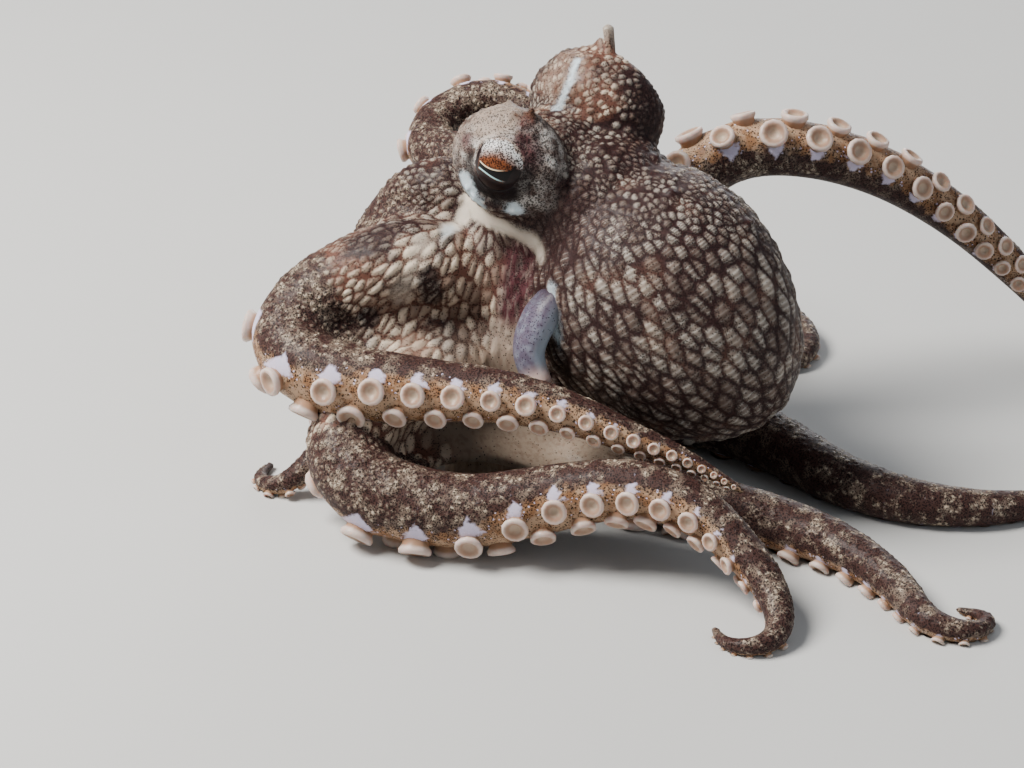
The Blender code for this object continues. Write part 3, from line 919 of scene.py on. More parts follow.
@dataclass
class Suckers:
    """The suckers of one arm as one mesh: a cup, lathed once and set down on each place."""

    arm: Arm
    finish: SuckerFinish
    sides: int = 12
    sizes: tuple[float, float] = (0.92, 1.07)
    tilt: float = 0.09
    clear: float = 0.02
    profile: tuple[tuple[float, float], ...] = (
        (0.74, -0.45), (0.8, 0.1), (0.97, 0.36), (0.93, 0.57), (0.74, 0.63), (0.5, 0.5), (0.3, 0.3),
        (0.14, 0.24))

    def build(self) -> bpy.types.Object:
        """Lathes the cup and sets a copy on each place, square to the arm, with a little
        unevenness in size and tilt.

        Returns:
            The object.
        """
        rng = np.random.default_rng(sum(map(ord, self.arm.name)))
        places, rows = self.arm.sucker_places()
        count = len(places)
        size = self.arm.sucker_radius(places) * rng.uniform(*self.sizes, count)
        angle = rows * self.arm.row_angle
        under, side = self.arm.at(places, self.arm.under), self.arm.at(places, self.arm.side)
        out = unit(np.cos(angle)[:, None] * under + np.sin(angle)[:, None] * side)
        reach = self.arm.at(places, self.arm.radii) * self.arm.section(angle)
        base = self.arm.at(places, self.arm.line) + out * (reach + 0.1 * size)[:, None]
        out = unit(out + rng.normal(0, self.tilt, (count, 3)))
        first = unit(np.cross(out, self.arm.at(places, self.arm.heading)))
        second = np.cross(out, first)
        radius, rise = np.array(self.profile).T
        a = np.linspace(0, 2 * math.pi, self.sides, endpoint=False)
        first, second, out = (way[:, None, None] for way in (first, second, out))
        round_it = np.cos(a)[:, None] * first + np.sin(a)[:, None] * second
        ring = radius[:, None, None] * round_it + rise[:, None, None] * out
        grids = base[:, None, None] + ring * size[:, None, None, None]
        grids[..., 2] = np.maximum(grids[..., 2], self.clear)
        obj = joined([wrapped(grid) for grid in grids]).object("suckers_" + self.arm.name)
        reach_out = radius.copy()
        reach_out[:2] = (1.6, 1.35)
        each = np.concatenate([np.repeat(reach_out, self.sides), [1.6, 0.0]])
        store(obj.data, "cup", np.tile(each, count))
        obj.data.materials.append(self.finish.dress())
        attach(obj, "root")
        return obj


# ---------------------------------------------------------------- eyes, siphon


@dataclass
class Eye:
    """One eye: a ball that looks out through an oval opening in the skin."""

    name: str
    centre: Point
    opening: Point
    pupil: Point
    slit: Point
    finish: EyeFinish
    radius: float = 4.2
    half_wide: float = 0.78
    half_tall: float = 0.88
    lid: float = 0.07
    hollow: float = 1.1

    def axes(self, way: Point) -> tuple[np.ndarray, np.ndarray, np.ndarray]:
        """The slit's direction, the direction up from it, and this way out, all square."""
        out = unit(np.array(way, float))
        along = np.array(self.slit, float)
        along = unit(along - out * (along @ out))
        up = np.cross(out, along)
        return along, up * np.sign(up[2]), out

    def build(self) -> bpy.types.Object:
        """The ball, with each point's place about the pupil kept for the finish.

        Returns:
            The object.
        """
        shell = ball(self.centre, (self.radius,) * 3, 72, 96)
        obj = shell.object("eye_ball_" + self.name)
        along, up, out = self.axes(self.pupil)
        ways = unit(shell.points - np.array(self.centre))
        store(obj.data, "gaze", np.stack([ways @ along, ways @ up, ways @ out], axis=1))
        obj.data.materials.append(self.finish.dress())
        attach(obj, "root")
        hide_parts("eye_" + self.name)
        return obj

    def open_skin(self, points: np.ndarray) -> np.ndarray:
        """Opens the skin over the eye.

        Inside an oval cone the skin goes in behind the ball. Round it stands a lid a little proud
        of the ball, and farther out the skin keeps its own shape, but never dips into the ball.

        Args:
            points: the skin's points.

        Returns:
            The moved points.
        """
        centre = np.array(self.centre)
        offset = points - centre
        far = np.linalg.norm(offset, axis=1)
        ways = unit(offset)
        along, up, out = self.axes(self.opening)
        oval = np.hypot(ways @ along / math.sin(self.half_wide), ways @ up / math.sin(self.half_tall))
        front = (ways @ out > 0.1) & (far < self.radius + 5.0)
        lidded = self.radius + self.lid * ease(1.9, 1.1, oval)
        covered = np.maximum(far, lidded)
        near = ease(1.5, 1.12, oval)
        level = covered * (1 - near) + (self.radius + self.lid) * near
        sunk = self.radius - self.hollow + (level - self.radius + self.hollow) * ease(0.92, 1.04, oval)
        return np.where(front[:, None], centre + ways * sunk[:, None], points)


@dataclass
class Siphon:
    """The soft funnel that comes out from under the mantle's edge."""

    finish: SiphonFinish
    route: tuple[Point, ...] = ((11.0, -7.6, 30.4), (9.6, -9.9, 28.8), (8.3, -13.2, 26.0), (8.0, -15.4, 22.2),
                                (10.0, -16.4, 18.4))
    radii: tuple[float, ...] = (2.0, 2.4, 2.7, 2.4, 1.9)
    lit_way: Point = (0.82, 0.3, 0.3)
    bore: float = 0.78
    depth: float = 0.45
    flare: float = 0.25
    section: tuple[float, float] = (1.15, 0.8)
    sides: int = 40

    def build(self) -> bpy.types.Object:
        """The outside down to the mouth, a rolled lip, and the inside back up to a closed end.

        Returns:
            The object.
        """
        line = curve_through(np.array(self.route, float), 60)
        s = np.linspace(0, 1, len(line))
        radii = np.interp(s, np.linspace(0, 1, len(self.radii)), self.radii)
        radii = radii + self.flare * ease(0.9, 1.0, s)
        inner = np.flatnonzero(s > 1 - self.depth)[::-1]
        path = np.concatenate([line, line[-1:] + (line[-1:] - line[-2:-1]) * 0.6, line[inner]])
        reach = np.concatenate([radii, [radii[-1] * 0.86], radii[inner] * self.bore])
        heading = unit(np.gradient(line, axis=0))
        heading = np.concatenate([heading, heading[-1:], heading[inner]])
        side = unit(np.cross(heading, (0.55, 0.8, 0.0)))
        up = np.cross(heading, side)
        a = np.linspace(0, 2 * math.pi, self.sides, endpoint=False)[None, :, None]
        wide, thick = self.section
        ring = wide * np.cos(a) * side[:, None] + thick * np.sin(a) * up[:, None]
        obj = wrapped(path[:, None] + ring * reach[:, None, None]).object("siphon_funnel")
        mouth = np.concatenate([s, [1.0], s[inner]])
        store(obj.data, "mouth", np.concatenate([np.repeat(mouth, self.sides), [0.0, mouth[-1]]]))
        lit = (ring @ unit(np.array(self.lit_way))).ravel()
        store(obj.data, "lit", np.concatenate([lit, [0.0, 0.0]]))
        obj.data.materials.append(self.finish.dress())
        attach(obj, "root")
        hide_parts("siphon")
        return obj


# ---------------------------------------------------------------- body


class Tint(Enum):
    """What a patch of the skin adds."""

    # SHADE darkens the skin's own colouring; a few patches use it for painted shade on the back of the head.
    SHADE = "shade"
    CREAM = "cream"
    BLUE = "blue"
    MAROON = "maroon"
    WARM = "warm"
    ORANGE = "orange"
    PLAIN = "plain"
    INK = "ink"
    # DARK: near-black painted shade below and beside the eye, over the dark skin there.
    DARK = "dark"
    FAINT = "faint"


@dataclass(frozen=True)
class Patch:
    """A soft-edged patch on the skin, round one point or along a line to another."""

    start: Point
    reach: float
    strength: float = 1.0
    end: Point | None = None
    core: float = 0.45

    def weight(self, points: np.ndarray) -> np.ndarray:
        """Strength inside the core of the line's reach, falling to nothing at its full reach.

        Args:
            points: where to weigh.

        Returns:
            A weight for each point.
        """
        start = np.array(self.start, float)
        line = np.array(self.end or self.start, float) - start
        share = np.clip((points - start) @ line / max(line @ line, 1e-9), 0, 1)
        far = np.linalg.norm(points - start - share[:, None] * line, axis=1)
        return self.strength * ease(self.reach, self.reach * self.core, far)


PATCHES: dict[Tint, tuple] = {
    Tint.SHADE: (
        # Behind the left eye the skin is darker of itself and also painted shade; the next patch is painted
        # shade on the back of the right eye's turret.
        ((9.4, -9.6, 36.6), 7.5, 0.5, (7.0, -9.0, 33.0)), ((11.5, 7.0, 46.5), 5.5, 0.38),
        ((-16.8, -24.9, 22.3), 3.4, 0.7), ((-13.1, -20.5, 23.0), 2.0, 0.5),
        ((-7.1, -15.7, 28.2), 1.9, 0.5, (-7.0, -15.1, 25.3)), ((-14.5, -17.5, 31.0), 3.6, 0.3),
        ((3.5, 5.0, 50.5), 9.0, -0.3), ((0.5, -1.0, 46.0), 5.0, -0.2),
        # Below, the second patch is painted shade over the back of the head.
        ((-3.5, -15.8, 19.8), 3.2, 0.45, (-6.0, -15.7, 20.6)), ((9.0, 2.0, 44.0), 9.0, 0.2),
    ),
    Tint.FAINT: (
        ((7.6, -8.4, 39.0), 5.0, 0.9, (8.0, -9.4, 34.0)), ((3.0, 6.5, 50.0), 9.5, 0.4),
        ((-22.2, -22.4, 27.6), 6.5, 0.7, (-15.5, -18.3, 31.2)), ((5.4, -4.0, 48.0), 5.0, 0.6),
        ((10.5, 8.5, 46.0), 5.0, 0.85),
    ),
    Tint.PLAIN: (
        ((0.0, -12.0, 44.5), 6.5, 1.0), ((4.5, -11.0, 41.0), 4.6, 0.9), ((6.0, -9.0, 46.0), 4.6, 0.9),
    ),
    # Painted shade below and beside the left eye, over its own dark skin.
    Tint.DARK: (
        ((-0.6, -13.6, 41.4), 2.6, 1.0, (3.2, -13.2, 41.0)), ((1.0, -13.0, 39.6), 1.7, 0.9),
        ((5.0, -12.2, 44.0), 1.9, 0.75, (4.8, -12.4, 42.0)),
        ((-2.4, -13.4, 44.8), 1.3, 0.8, (-2.1, -13.5, 42.6)),
    ),
    Tint.MAROON: (
        ((-3.7, -12.3, 46.2), 1.5, 0.8), ((4.4, -10.8, 47.2), 2.2, 0.8, (5.2, -10.9, 46.0)),
        ((3.2, -9.4, 49.0), 1.6, 0.6), ((2.4, -9.6, 30.6), 3.4, 1.0, (2.2, -11.0, 24.5)),
    ),
    Tint.INK: (
        ((5.4, -10.6, 45.0), 5.0, 0.9, (4.6, -12.0, 39.5)), ((0.0, -11.6, 48.0), 5.0, 0.45),
        ((-0.5, -14.5, 41.0), 3.0, 0.95, (2.5, -14.0, 41.0)), ((-3.6, -13.0, 41.5), 1.7, 0.6),
    ),
    Tint.CREAM: (
        ((-7.4, -6.4, 35.6), 1.5, 0.95, (-5.5, -7.4, 34.6)),
        ((-5.5, -7.4, 34.6), 1.7, 0.95, (0.2, -9.4, 35.0)),
        ((0.2, -9.4, 35.0), 1.6, 0.9, (4.1, -8.5, 33.8)),
        ((4.1, -8.5, 33.8), 1.5, 0.7, (6.4, -9.2, 32.0)),
        ((-7.3, -6.4, 34.3), 1.5, 0.85, (-8.2, -12.4, 31.4)),
        ((-8.2, -12.4, 31.4), 1.6, 0.6, (-8.9, -14.8, 31.4)),
        ((-8.9, -14.8, 31.4), 2.0, 0.42, (-9.8, -18.0, 26.0)), ((2.2, 9.9, 55.4), 2.4, 0.5),
    ),
    Tint.BLUE: (
        ((1.1, 5.1, 52.1), 0.62, 0.85, (1.5, 3.1, 50.4)), ((1.5, 3.1, 50.4), 0.7, 0.75, (1.0, 1.8, 48.6)),
        ((1.0, 1.8, 48.6), 0.9, 0.65, (0.8, 0.9, 47.2)),
        ((-7.7, -9.0, 33.4), 1.1, 0.6, (-7.6, -13.4, 31.0)),
        ((-3.2, -13.0, 41.4), 1.5, 0.95, (-2.4, -12.6, 38.6)), ((-1.8, -12.4, 38.4), 1.5, 0.8),
        ((3.2, -11.6, 38.4), 1.6, 0.95), ((9.6, -12.6, 30.0), 1.0, 0.6, (11.5, -14.6, 22.0)),
    ),
    Tint.WARM: (
        ((2.2, -11.6, 21.6), 3.6, 0.9, (3.0, -11.6, 18.5)), ((-1.2, -9.8, 49.6), 5.0, 0.8),
        ((-4.6, -10.6, 45.5), 3.0, 0.5), ((-0.5, 4.0, 50.5), 5.0, 0.4),
    ),
    Tint.ORANGE: (
        ((0.5, 3.5, 50.5), 5.5, 0.7), ((2.6, -8.6, 50.0), 2.4, 0.8), ((-4.0, -3.0, 45.0), 5.0, 0.3),
    ),
}


def patched(points: np.ndarray) -> dict[Tint, np.ndarray]:
    """What the patches add at each point, by tint: the strongest weight, be it above or below nought.

    Args:
        points: where to weigh.

    Returns:
        Each tint's weight at each point.
    """
    tints = {tint: np.zeros(len(points)) for tint in Tint}
    for tint, rows in PATCHES.items():
        for row in rows:
            weight = Patch(*row).weight(points)
            tints[tint] = np.where(np.abs(weight) > np.abs(tints[tint]), weight, tints[tint])
    return tints


@dataclass(frozen=True)
class Papilla:
    """A small pointed bump that stands up from the skin."""

    place: Point
    radius: float
    height: float
    sharpness: float = 1.5

    def lift(self, points: np.ndarray) -> np.ndarray:
        """How far it raises each point: its height times exp(-(distance / radius)^sharpness), from
        the point of the skin that is nearest its place.

        Args:
            points: the skin's points.

        Returns:
            The lift of each, in millimetres.
        """
        foot = points[np.argmin(np.linalg.norm(points - np.array(self.place, float), axis=1))]
        far = np.linalg.norm(points - foot, axis=1) / self.radius
        return self.height * np.exp(-far**self.sharpness)


PAPILLAE = tuple(Papilla(*row) for row in (
    ((3.2, -9.4, 49.0), 0.7, 0.8), ((4.6, -9.6, 48.4), 0.6, 0.6), ((3.3, -10.7, 47.6), 0.6, 0.55),
    ((5.2, -10.8, 46.4), 0.6, 0.5), ((1.2, -9.4, 50.4), 0.55, 0.5), ((6.9, -9.4, 44.2), 0.7, 0.6),
    ((-5.2, -11.4, 46.4), 0.6, 0.5), ((-1.4, -6.4, 50.2), 0.7, 0.6), ((-2.0, 6.2, 51.8), 0.7, 0.6),
    ((-0.2, 5.4, 52.6), 0.7, 0.7), ((-4.4, 5.6, 49.4), 0.6, 0.5), ((7.6, 8.8, 50.6), 0.7, 0.6),
    ((5.0, -3.0, 46.6), 0.6, 0.5), ((9.6, -2.2, 45.4), 0.7, 0.6), ((14.5, 3.5, 43.4), 0.8, 0.7),
    ((20.5, -3.0, 41.6), 0.8, 0.7), ((27.5, 2.4, 37.0), 0.8, 0.7),
))


@dataclass
class Pebbles:
    """Oval cells spread evenly over the skin, each with a middle, a long way and a size.

    A point at d from a middle is sqrt(|d|^2 - (d.t)^2 + (d.t / s)^2) / h cells away, where t is
    the cell's long way, s how many times longer than wide it is and h half its width.
    """

    middles: np.ndarray
    ways: np.ndarray
    halves: np.ndarray
    stretches: np.ndarray
    margin: float = 2.5

    def nearest(self, points: np.ndarray, block: float = 6.0) -> tuple[np.ndarray, np.ndarray]:
        """The cell that each point is in, and the next one to it.

        The points are taken a block of space at a time, against the cells about that block.

        Args:
            points: points in millimetres.
            block: the width of a block in millimetres.

        Returns:
            Each point's nearest cell and its second nearest.
        """
        places = np.floor(points / block).astype(int)
        blocks, owner = np.unique(places, axis=0, return_inverse=True)
        order = np.argsort(owner.ravel(), kind="stable")
        parts = np.split(order, np.cumsum(np.bincount(owner.ravel()))[:-1])
        cells, seconds = np.zeros(len(points), int), np.ones(len(points), int)
        for place, part in zip(blocks, parts):
            apart = np.abs(self.middles - (place + 0.5) * block).max(axis=1)
            about = np.flatnonzero(apart < block / 2 + self.margin)
            if len(about) < 2:
                continue
            offset = points[part, None] - self.middles[about]
            long = np.einsum("pck,ck->pc", offset, self.ways[about])
            far = np.einsum("pck,pck->pc", offset, offset) - long**2 * (1 - 1 / self.stretches[about] ** 2)
            far = far / self.halves[about] ** 2
            first = np.argmin(far, axis=1)
            far[np.arange(len(part)), first] = np.inf
            cells[part] = about[first]
            seconds[part] = about[np.argmin(far, axis=1)]
        return cells, seconds

    def placed(self, points: np.ndarray, cells: np.ndarray) -> tuple[np.ndarray, np.ndarray]:
        """Where each point is in its cell: along it and across it, each about one at its edge."""
        offset = points - self.middles[cells]
        long = np.sum(offset * self.ways[cells], axis=1)
        wide = np.sqrt(np.maximum(np.sum(offset**2, axis=1) - long**2, 0))
        return long / self.stretches[cells] / self.halves[cells], wide / self.halves[cells]

    def packed(self, points: np.ndarray, cells: np.ndarray, seconds: np.ndarray) -> np.ndarray:
        """How far towards its cell's edge each point is: nought in the middle, one on the border
        with the next cell."""
        own, other = np.hypot(*self.placed(points, cells)), np.hypot(*self.placed(points, seconds))
        return np.maximum(own * 0.88, 1 - (other - own) * 0.5)

    @classmethod
    def spread(cls, points: np.ndarray, normals: np.ndarray, armness: np.ndarray, grain: PebbleGrain,
               areas: np.ndarray) -> Pebbles:
        """Picks middles at random and moves each, a few times, to the mean of the points in it.

        Args:
            points: the skin's points.
            normals: their normals.
            armness: how much each is arm.
            grain: which way the cells lie and how large they are.
            areas: how much skin with cells there is about each point, in square millimetres.

        Returns:
            The cells.
        """
        chance = np.random.default_rng(11)
        ways, halves, stretches = grain.at(points, normals, armness)
        density = areas / (grain.cell_area * halves**2 * stretches)
        some = chance.choice(len(points), min(len(points), grain.samples), replace=False)
        share = density[some] / density[some].sum()
        first = some[chance.choice(len(some), int(density.sum()), replace=False, p=share)]
        cells = cls(points[first], ways[first], halves[first], stretches[first])
        for _ in range(grain.rounds):
            owner = cells.nearest(points[some])[0]
            total = np.maximum(np.bincount(owner, share, len(cells.middles)), 1e-12)
            mean, outward = (np.stack([np.bincount(owner, share * rows[some, k], len(total))
                                       for k in range(3)], axis=1) for rows in (points, normals))
            middles = mean / total[:, None]
            arm = np.bincount(owner, share * armness[some], len(total)) / total
            cells = cls(middles, *grain.at(middles, unit(outward), arm))
        return cells

    def store_ovals(self, mesh: bpy.types.Mesh) -> None:
        """Stores, at each corner of each face, how far along the face's own cell it is, how far
        towards the cell's edge, and a random tone of the cell's own.

        Args:
            mesh: a mesh of triangles.
        """
        corners = taken(mesh.loops, "vertex_index", np.int32)
        face = taken(mesh.vertices, "co", np.float32, 3)[corners].reshape(-1, 3, 3) / MM
        cells, seconds = (np.repeat(found, 3) for found in self.nearest(face.mean(axis=1)))
        points = face.reshape(-1, 3)
        tones = np.random.default_rng(5).random(len(self.middles))
        values = np.stack([self.placed(points, cells)[0], self.packed(points, cells, seconds),
                           tones[cells]], axis=1)
        layer = mesh.attributes.new("oval", "FLOAT_VECTOR", "CORNER")
        layer.data.foreach_set("vector", values.astype(np.float32).ravel())


@dataclass(frozen=True)
class PebbleGrain:
    """Which way the cells of the skin lie, how wide they are and how long for their width.

    They fan out from one point over the mantle and from another, lower, over the webs.
    """

    mantle_fan: Point = (2.0, -1.0, 46.0)
    web_fan: Point = (-3.0, -8.0, 41.0)
    rounds: int = 2
    samples: int = 60_000
    cell_area: float = 2.9
    arm_half: float = 0.42

    def at(self, points: np.ndarray, normals: np.ndarray,
           armness: np.ndarray) -> tuple[np.ndarray, np.ndarray, np.ndarray]:
        """Each point's long way, half width and stretch.

        Args:
            points: points in millimetres.
            normals: their normals.
            armness: how much each is arm, where cells are small and round.

        Returns:
            The three.
        """
        web = ease(6.0, 1.0, points[:, 0])
        fan = np.array(self.mantle_fan) * (1 - web[:, None]) + np.array(self.web_fan) * web[:, None]
        ways = points - fan
        ways = unit(ways - normals * np.sum(ways * normals, axis=1)[:, None])
        x, _, z = points.T
        halves = 0.52 + 0.18 * ease(44.0, 34.0, z) + ease(42.0, 30.0, z) * (0.06 + 0.32 * ease(6.0, 12.0, x))
        halves = halves * (1 - 0.3 * ease(-10.0, -15.0, x))
        halves = halves * (1 - armness) + self.arm_half * armness
        stretches = 1.15 + (0.8 * ease(42.0, 32.0, z) + 0.1 * web) * (1 - armness)
        return ways, halves, stretches


@dataclass
class Body:
    """Head, mantle, crown, webs and arms under one skin."""

    arms: list[Arm]
    eyes: list[Eye]
    finish: SkinFinish
    head: tuple[Point, Point] = ((1.0, 0.0, 36.5), (9.5, 9.5, 10.5))
    nape: tuple[Point, Point] = ((8.5, 0.5, 36.5), (8.5, 10.0, 8.6))
    bulges: tuple[tuple[Point, Point], ...] = (((0.0, -8.2, 43.0), (7.6, 5.8, 7.0)),
                                              ((2.3, 7.8, 45.0), (9.2, 6.4, 8.0)))
    horns: tuple[tuple[Point, Point, float], ...] = (((2.6, -7.6, 48.4), (3.2, -7.7, 50.9), 1.2),
                                                    ((2.8, 9.3, 50.4), (2.4, 10.0, 55.8), 4.4))
    lid_fold: tuple[Point, ...] = ((-7.0, -5.4, 37.0), (-5.6, -6.6, 35.2), (-2.7, -8.0, 34.8),
                                   (0.2, -8.8, 35.0), (2.4, -8.8, 34.6), (4.2, -8.3, 33.6), (6.0, -8.2, 32.0))
    lid_fold_r: float = 1.2
    mantle_centre: Point = (18.8, 0.0, 24.6)
    mantle_semi: Point = (18.5, 14.3, 16.6)
    mantle_droop: float = 30.0
    mantle_taper: float = 0.16
    crown_profile: tuple[tuple[float, float], ...] = (
        (8.0, 36.0), (9.4, 30.0), (11.0, 24.0), (12.4, 17.0), (14.0, 9.0), (15.4, 2.5), (15.6, 0.0))
    crown_sides: int = 72
    crown_folds: float = 0.1
    folded: tuple[float, float] = (29.0, 15.0)
    web_grid: tuple[int, int] = (48, 60)
    web_folds: float = 0.22
    web_thickness: float = 1.7
    web_shape: tuple[float, float] = (0.24, 1.5)
    web_shapes: dict[str, tuple[float, float]] = field(default_factory=lambda: {
        "l1": (0.14, -1.5), "l2": (0.08, -2.4), "r1": (0.26, 0.0)})
    voxel: float = 0.31
    quick_voxels: float = 1.6
    soft_rounds: tuple[int, int] = (6, 3)
    fill_rounds: int = 110
    most_triangles: int = 194_000
    chunks: int = 24
    grain: PebbleGrain = field(default_factory=PebbleGrain)
    crown_middle: float = 8.0
    shade: float = 0.62
    web_paler: float = 0.5
    pearl_from: float = 0.2
    pearl_length: float = 0.8
    pearl_width: float = 1.15
    pebble_height: float = 0.25
    lump_height: float = 0.3

    def mantle_turn(self) -> np.ndarray:
        """The turn that lowers the mantle's tip."""
        return np.array(Matrix.Rotation(math.radians(self.mantle_droop), 3, "Y"))

    def mantle(self) -> Shell:
        """An egg: a unit ball whose far end is narrower, stretched, turned tip down and moved."""
        egg = ball((0, 0, 0), (1, 1, 1), 64, 96)
        along = egg.points[:, :1]
        slim = np.concatenate([np.ones_like(along), *[1 - self.mantle_taper * along] * 2], axis=1)
        egg.points = egg.points * slim * self.mantle_semi @ self.mantle_turn().T + self.mantle_centre
        return egg

    def crown(self) -> Shell:
        """The turned body under the head: a smooth profile of radius against height, with a fold
        between each arm's base and the next: cos(8 a + 0.8 sin(3 a) + 0.12 z), which leans and is
        not quite even."""
        profile = curve_through(np.array([(r, 0, z) for r, z in self.crown_profile]), 50)[::-1]
        a = np.linspace(0, 2 * math.pi, self.crown_sides, endpoint=False)
        radius, height = profile[:, :1], profile[:, 2:]
        folds = np.cos(8 * a + 0.8 * np.sin(3 * a) + 0.12 * height) - 0.3
        radius = radius * (1 + self.crown_folds * ease(*self.folded, height) * folds)
        grid = np.stack([radius * np.cos(a) + CROWN_AXIS_X, radius * np.sin(a), height + 0 * a], axis=-1)
        grid[..., 2] = np.maximum(grid[..., 2], 0)
        return wrapped(grid)

    def web(self, first: Arm, second: Arm) -> Shell:
        """The web between two arms.

        A point is the mix, by its share across, of the two arms' middles at its share down the
        web. The edge is drawn in, and the middle sags towards the crown's axis, by the sine of
        half a turn across. Five half waves of small folds run down it.

        Args:
            first: the arm on one side.
            second: the arm on the other.

        Returns:
            The web as a slab.
        """
        scallop, sag = self.web_shapes.get(first.name, self.web_shape)
        u, v = np.meshgrid(*(np.linspace(0, 1, count) for count in self.web_grid), indexing="ij")
        belly = np.sin(math.pi * u)
        reach = v * (1 - scallop * np.maximum(belly, 0) ** 1.2)
        point = ((1 - u)[..., None] * first.at(reach * first.web_end, first.line)
                 + u[..., None] * second.at(reach * second.web_end, second.line))
        inward = (np.array([CROWN_AXIS_X, 0, 0]) - point) * (1, 1, 0)
        folds = self.web_folds * np.sin(5 * math.pi * u) * np.sin(math.pi * u) * v
        point = point + unit(inward) * (sag * belly * v + folds)[..., None]
        point[..., 2] = np.maximum(point[..., 2], self.web_thickness / 2)
        return slab(point, np.full(u.shape, self.web_thickness))

    def shells(self) -> list[Shell]:
        """All that the skin goes round."""
        made = [ball(*self.head), ball(*self.nape), self.mantle(), self.crown()]
        made += [ball(*bulge) for bulge in self.bulges]
        along = np.linspace(0, 1, 20)
        for base, tip, radius in self.horns:
            radii = radius * (0.24 + 0.76 * (1 - along) ** 2) * (1 - 0.45 * along**8)
            made.append(carried(np.linspace(base, tip, len(along)), radii))
        fold = curve_through(np.array(self.lid_fold), 60)
        made.append(carried(fold, self.lid_fold_r * np.sin(np.linspace(0.35, math.pi - 0.35, 60)) ** 0.5))
        made += [arm.shell() for arm in self.arms]
        made += [self.web(a, b) for a, b in zip(self.arms, self.arms[1:] + self.arms[:1])]
        return made

    def build(self) -> bpy.types.Object:
        """Puts one skin round all the shells, softens it, opens it over the eyes, stores what its
        finish reads, and raises its pebbles.

        Returns:
            The object.
        """
        obj = joined(self.shells()).object("octopus_skin")
        surfacing = obj.modifiers.new("skin", "REMESH")
        surfacing.mode = "VOXEL"
        surfacing.voxel_size = self.voxel * MM * 1.0
        finished(obj)
        mesh = obj.data
        surface = Surface.read(mesh)
        LOG.info("skin surfaced: %d points", len(surface.points))
        before, after = self.soft_rounds
        surface.soften(before)
        surface.fill_creases(self.fill_rounds, self.fill_weight(surface.points))
        surface.soften(after)
        for eye in self.eyes:
            surface.points = eye.open_skin(surface.points)
        surface.points[:, 2] = np.maximum(surface.points[:, 2], 0)
        pebbles = self.store_fields(mesh, surface)
        mesh.vertices.foreach_set("co", (surface.points * MM).astype(np.float32).ravel())
        mesh.update()
        mesh.calc_loop_triangles()
        thin = obj.modifiers.new("thin", "DECIMATE")
        thin.ratio = min(1.0, self.most_triangles / len(mesh.loop_triangles))
        thin.use_collapse_triangulate = True
        finished(obj)
        pebbles.store_ovals(obj.data)
        obj.data.shade_smooth()
        obj.data.materials.clear()
        obj.data.materials.append(self.finish.dress())
        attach(obj, "root")
        lengths = [f"arm_{arm.name}_{k + 1}" for arm in self.arms for k in range(ARM_LENGTHS)]
        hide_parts("head", "crown", "mantle", *lengths)
        return obj

    def fill_weight(self, points: np.ndarray) -> np.ndarray:
        """How far creases are filled: fully about the crown and webs, not at all where arms lie."""
        near = ease(34.0, 22.0, np.linalg.norm(points - (CROWN_AXIS_X, 0, 24), axis=1))
        return near * ease(1.5, 4.0, points[:, 2]) * (1 - 0.8 * ease(33.0, 38.0, points[:, 2]))

    def mantle_share(self, points: np.ndarray) -> np.ndarray:
        """One on the mantle's own surface, nought elsewhere."""
        local = (points - self.mantle_centre) @ self.mantle_turn() / self.mantle_semi
        local[:, 1:] /= 1 - self.mantle_taper * np.clip(local[:, :1], -1, 1)
        return ease(1.16, 1.05, np.linalg.norm(local, axis=1))

    def inner_share(self, points: np.ndarray, normals: np.ndarray) -> np.ndarray:
        """One on the side of the webs that faces in to the crown, and in the hollow under the
        nearer arms, nought elsewhere.

        Args:
            points: the skin's points.
            normals: their normals.

        Returns:
            The share at each point.
        """
        middle = np.array((CROWN_AXIS_X, 0, self.crown_middle))
        facing = np.sum(normals * unit((points - middle) * (1, 1, 0.9)), axis=1)
        _, y, z = points.T
        core = np.hypot(points[:, 0] - CROWN_AXIS_X, y)
        hollow = ease(22.0, 16.0, z) * ease(25.0, 20.0, core) * ease(-3.0, -8.0, y)
        return np.maximum(ease(0.1, -0.35, facing), hollow)

    def store_fields(self, mesh: bpy.types.Mesh, surface: Surface) -> Pebbles:
        """Stores, for each point, the numbers that the skin's finish reads, and moves the points
        out over the skin's pebbles.

        Args:
            mesh: the skin's mesh.
            surface: the same points, with their normals.

        Returns:
            The pebbles.
        """
        points, normals = surface.points, surface.normals()
        armness, under, pearl, root = self.arm_fields(points)
        mantle = self.mantle_share(points)
        inner = self.inner_share(points, normals) * (ease(36.0, 30.0, points[:, 2]) * (1 - mantle))
        web = ease(34.0, 29.0, points[:, 2]) * (1 - mantle) * ease(6.0, 1.0, points[:, 0])
        tints = patched(points)
        tints[Tint.SHADE] = np.clip(self.shade - self.web_paler * web + tints[Tint.SHADE], 0, 1)
        fields = {tint.value: values for tint, values in tints.items()}
        fields.update(armness=armness, pearl=pearl, root=root, under=under, mantle=mantle,
                      inner=inner * (1 - armness))
        for name, values in fields.items():
            store(mesh, name, values)
        celled = (1 - ease(0.1, 0.5, under) * armness) * (1 - ease(0.4, 0.9, inner))
        pebbles = Pebbles.spread(points, normals, armness, self.grain, celled * surface.areas())
        LOG.info("pebbles spread: %d", len(pebbles.middles))
        far = pebbles.packed(points, *pebbles.nearest(points))
        on_arm = armness * (0.5 + 0.5 * ease(-0.1, 0.4, under)) * (1 - 0.9 * root * ease(0.5, 0.1, under))
        raised = ((1 - on_arm) * (1 - tints[Tint.CREAM]) * (1 - inner) * (1 - 0.85 * tints[Tint.PLAIN])
                  * (1 - 0.7 * tints[Tint.WARM]) * (1 - 0.5 * tints[Tint.FAINT]))
        surface.points = points + normals * self.relief(points, far, raised)[:, None]
        surface.points[:, 2] = np.maximum(surface.points[:, 2], 0)
        return pebbles

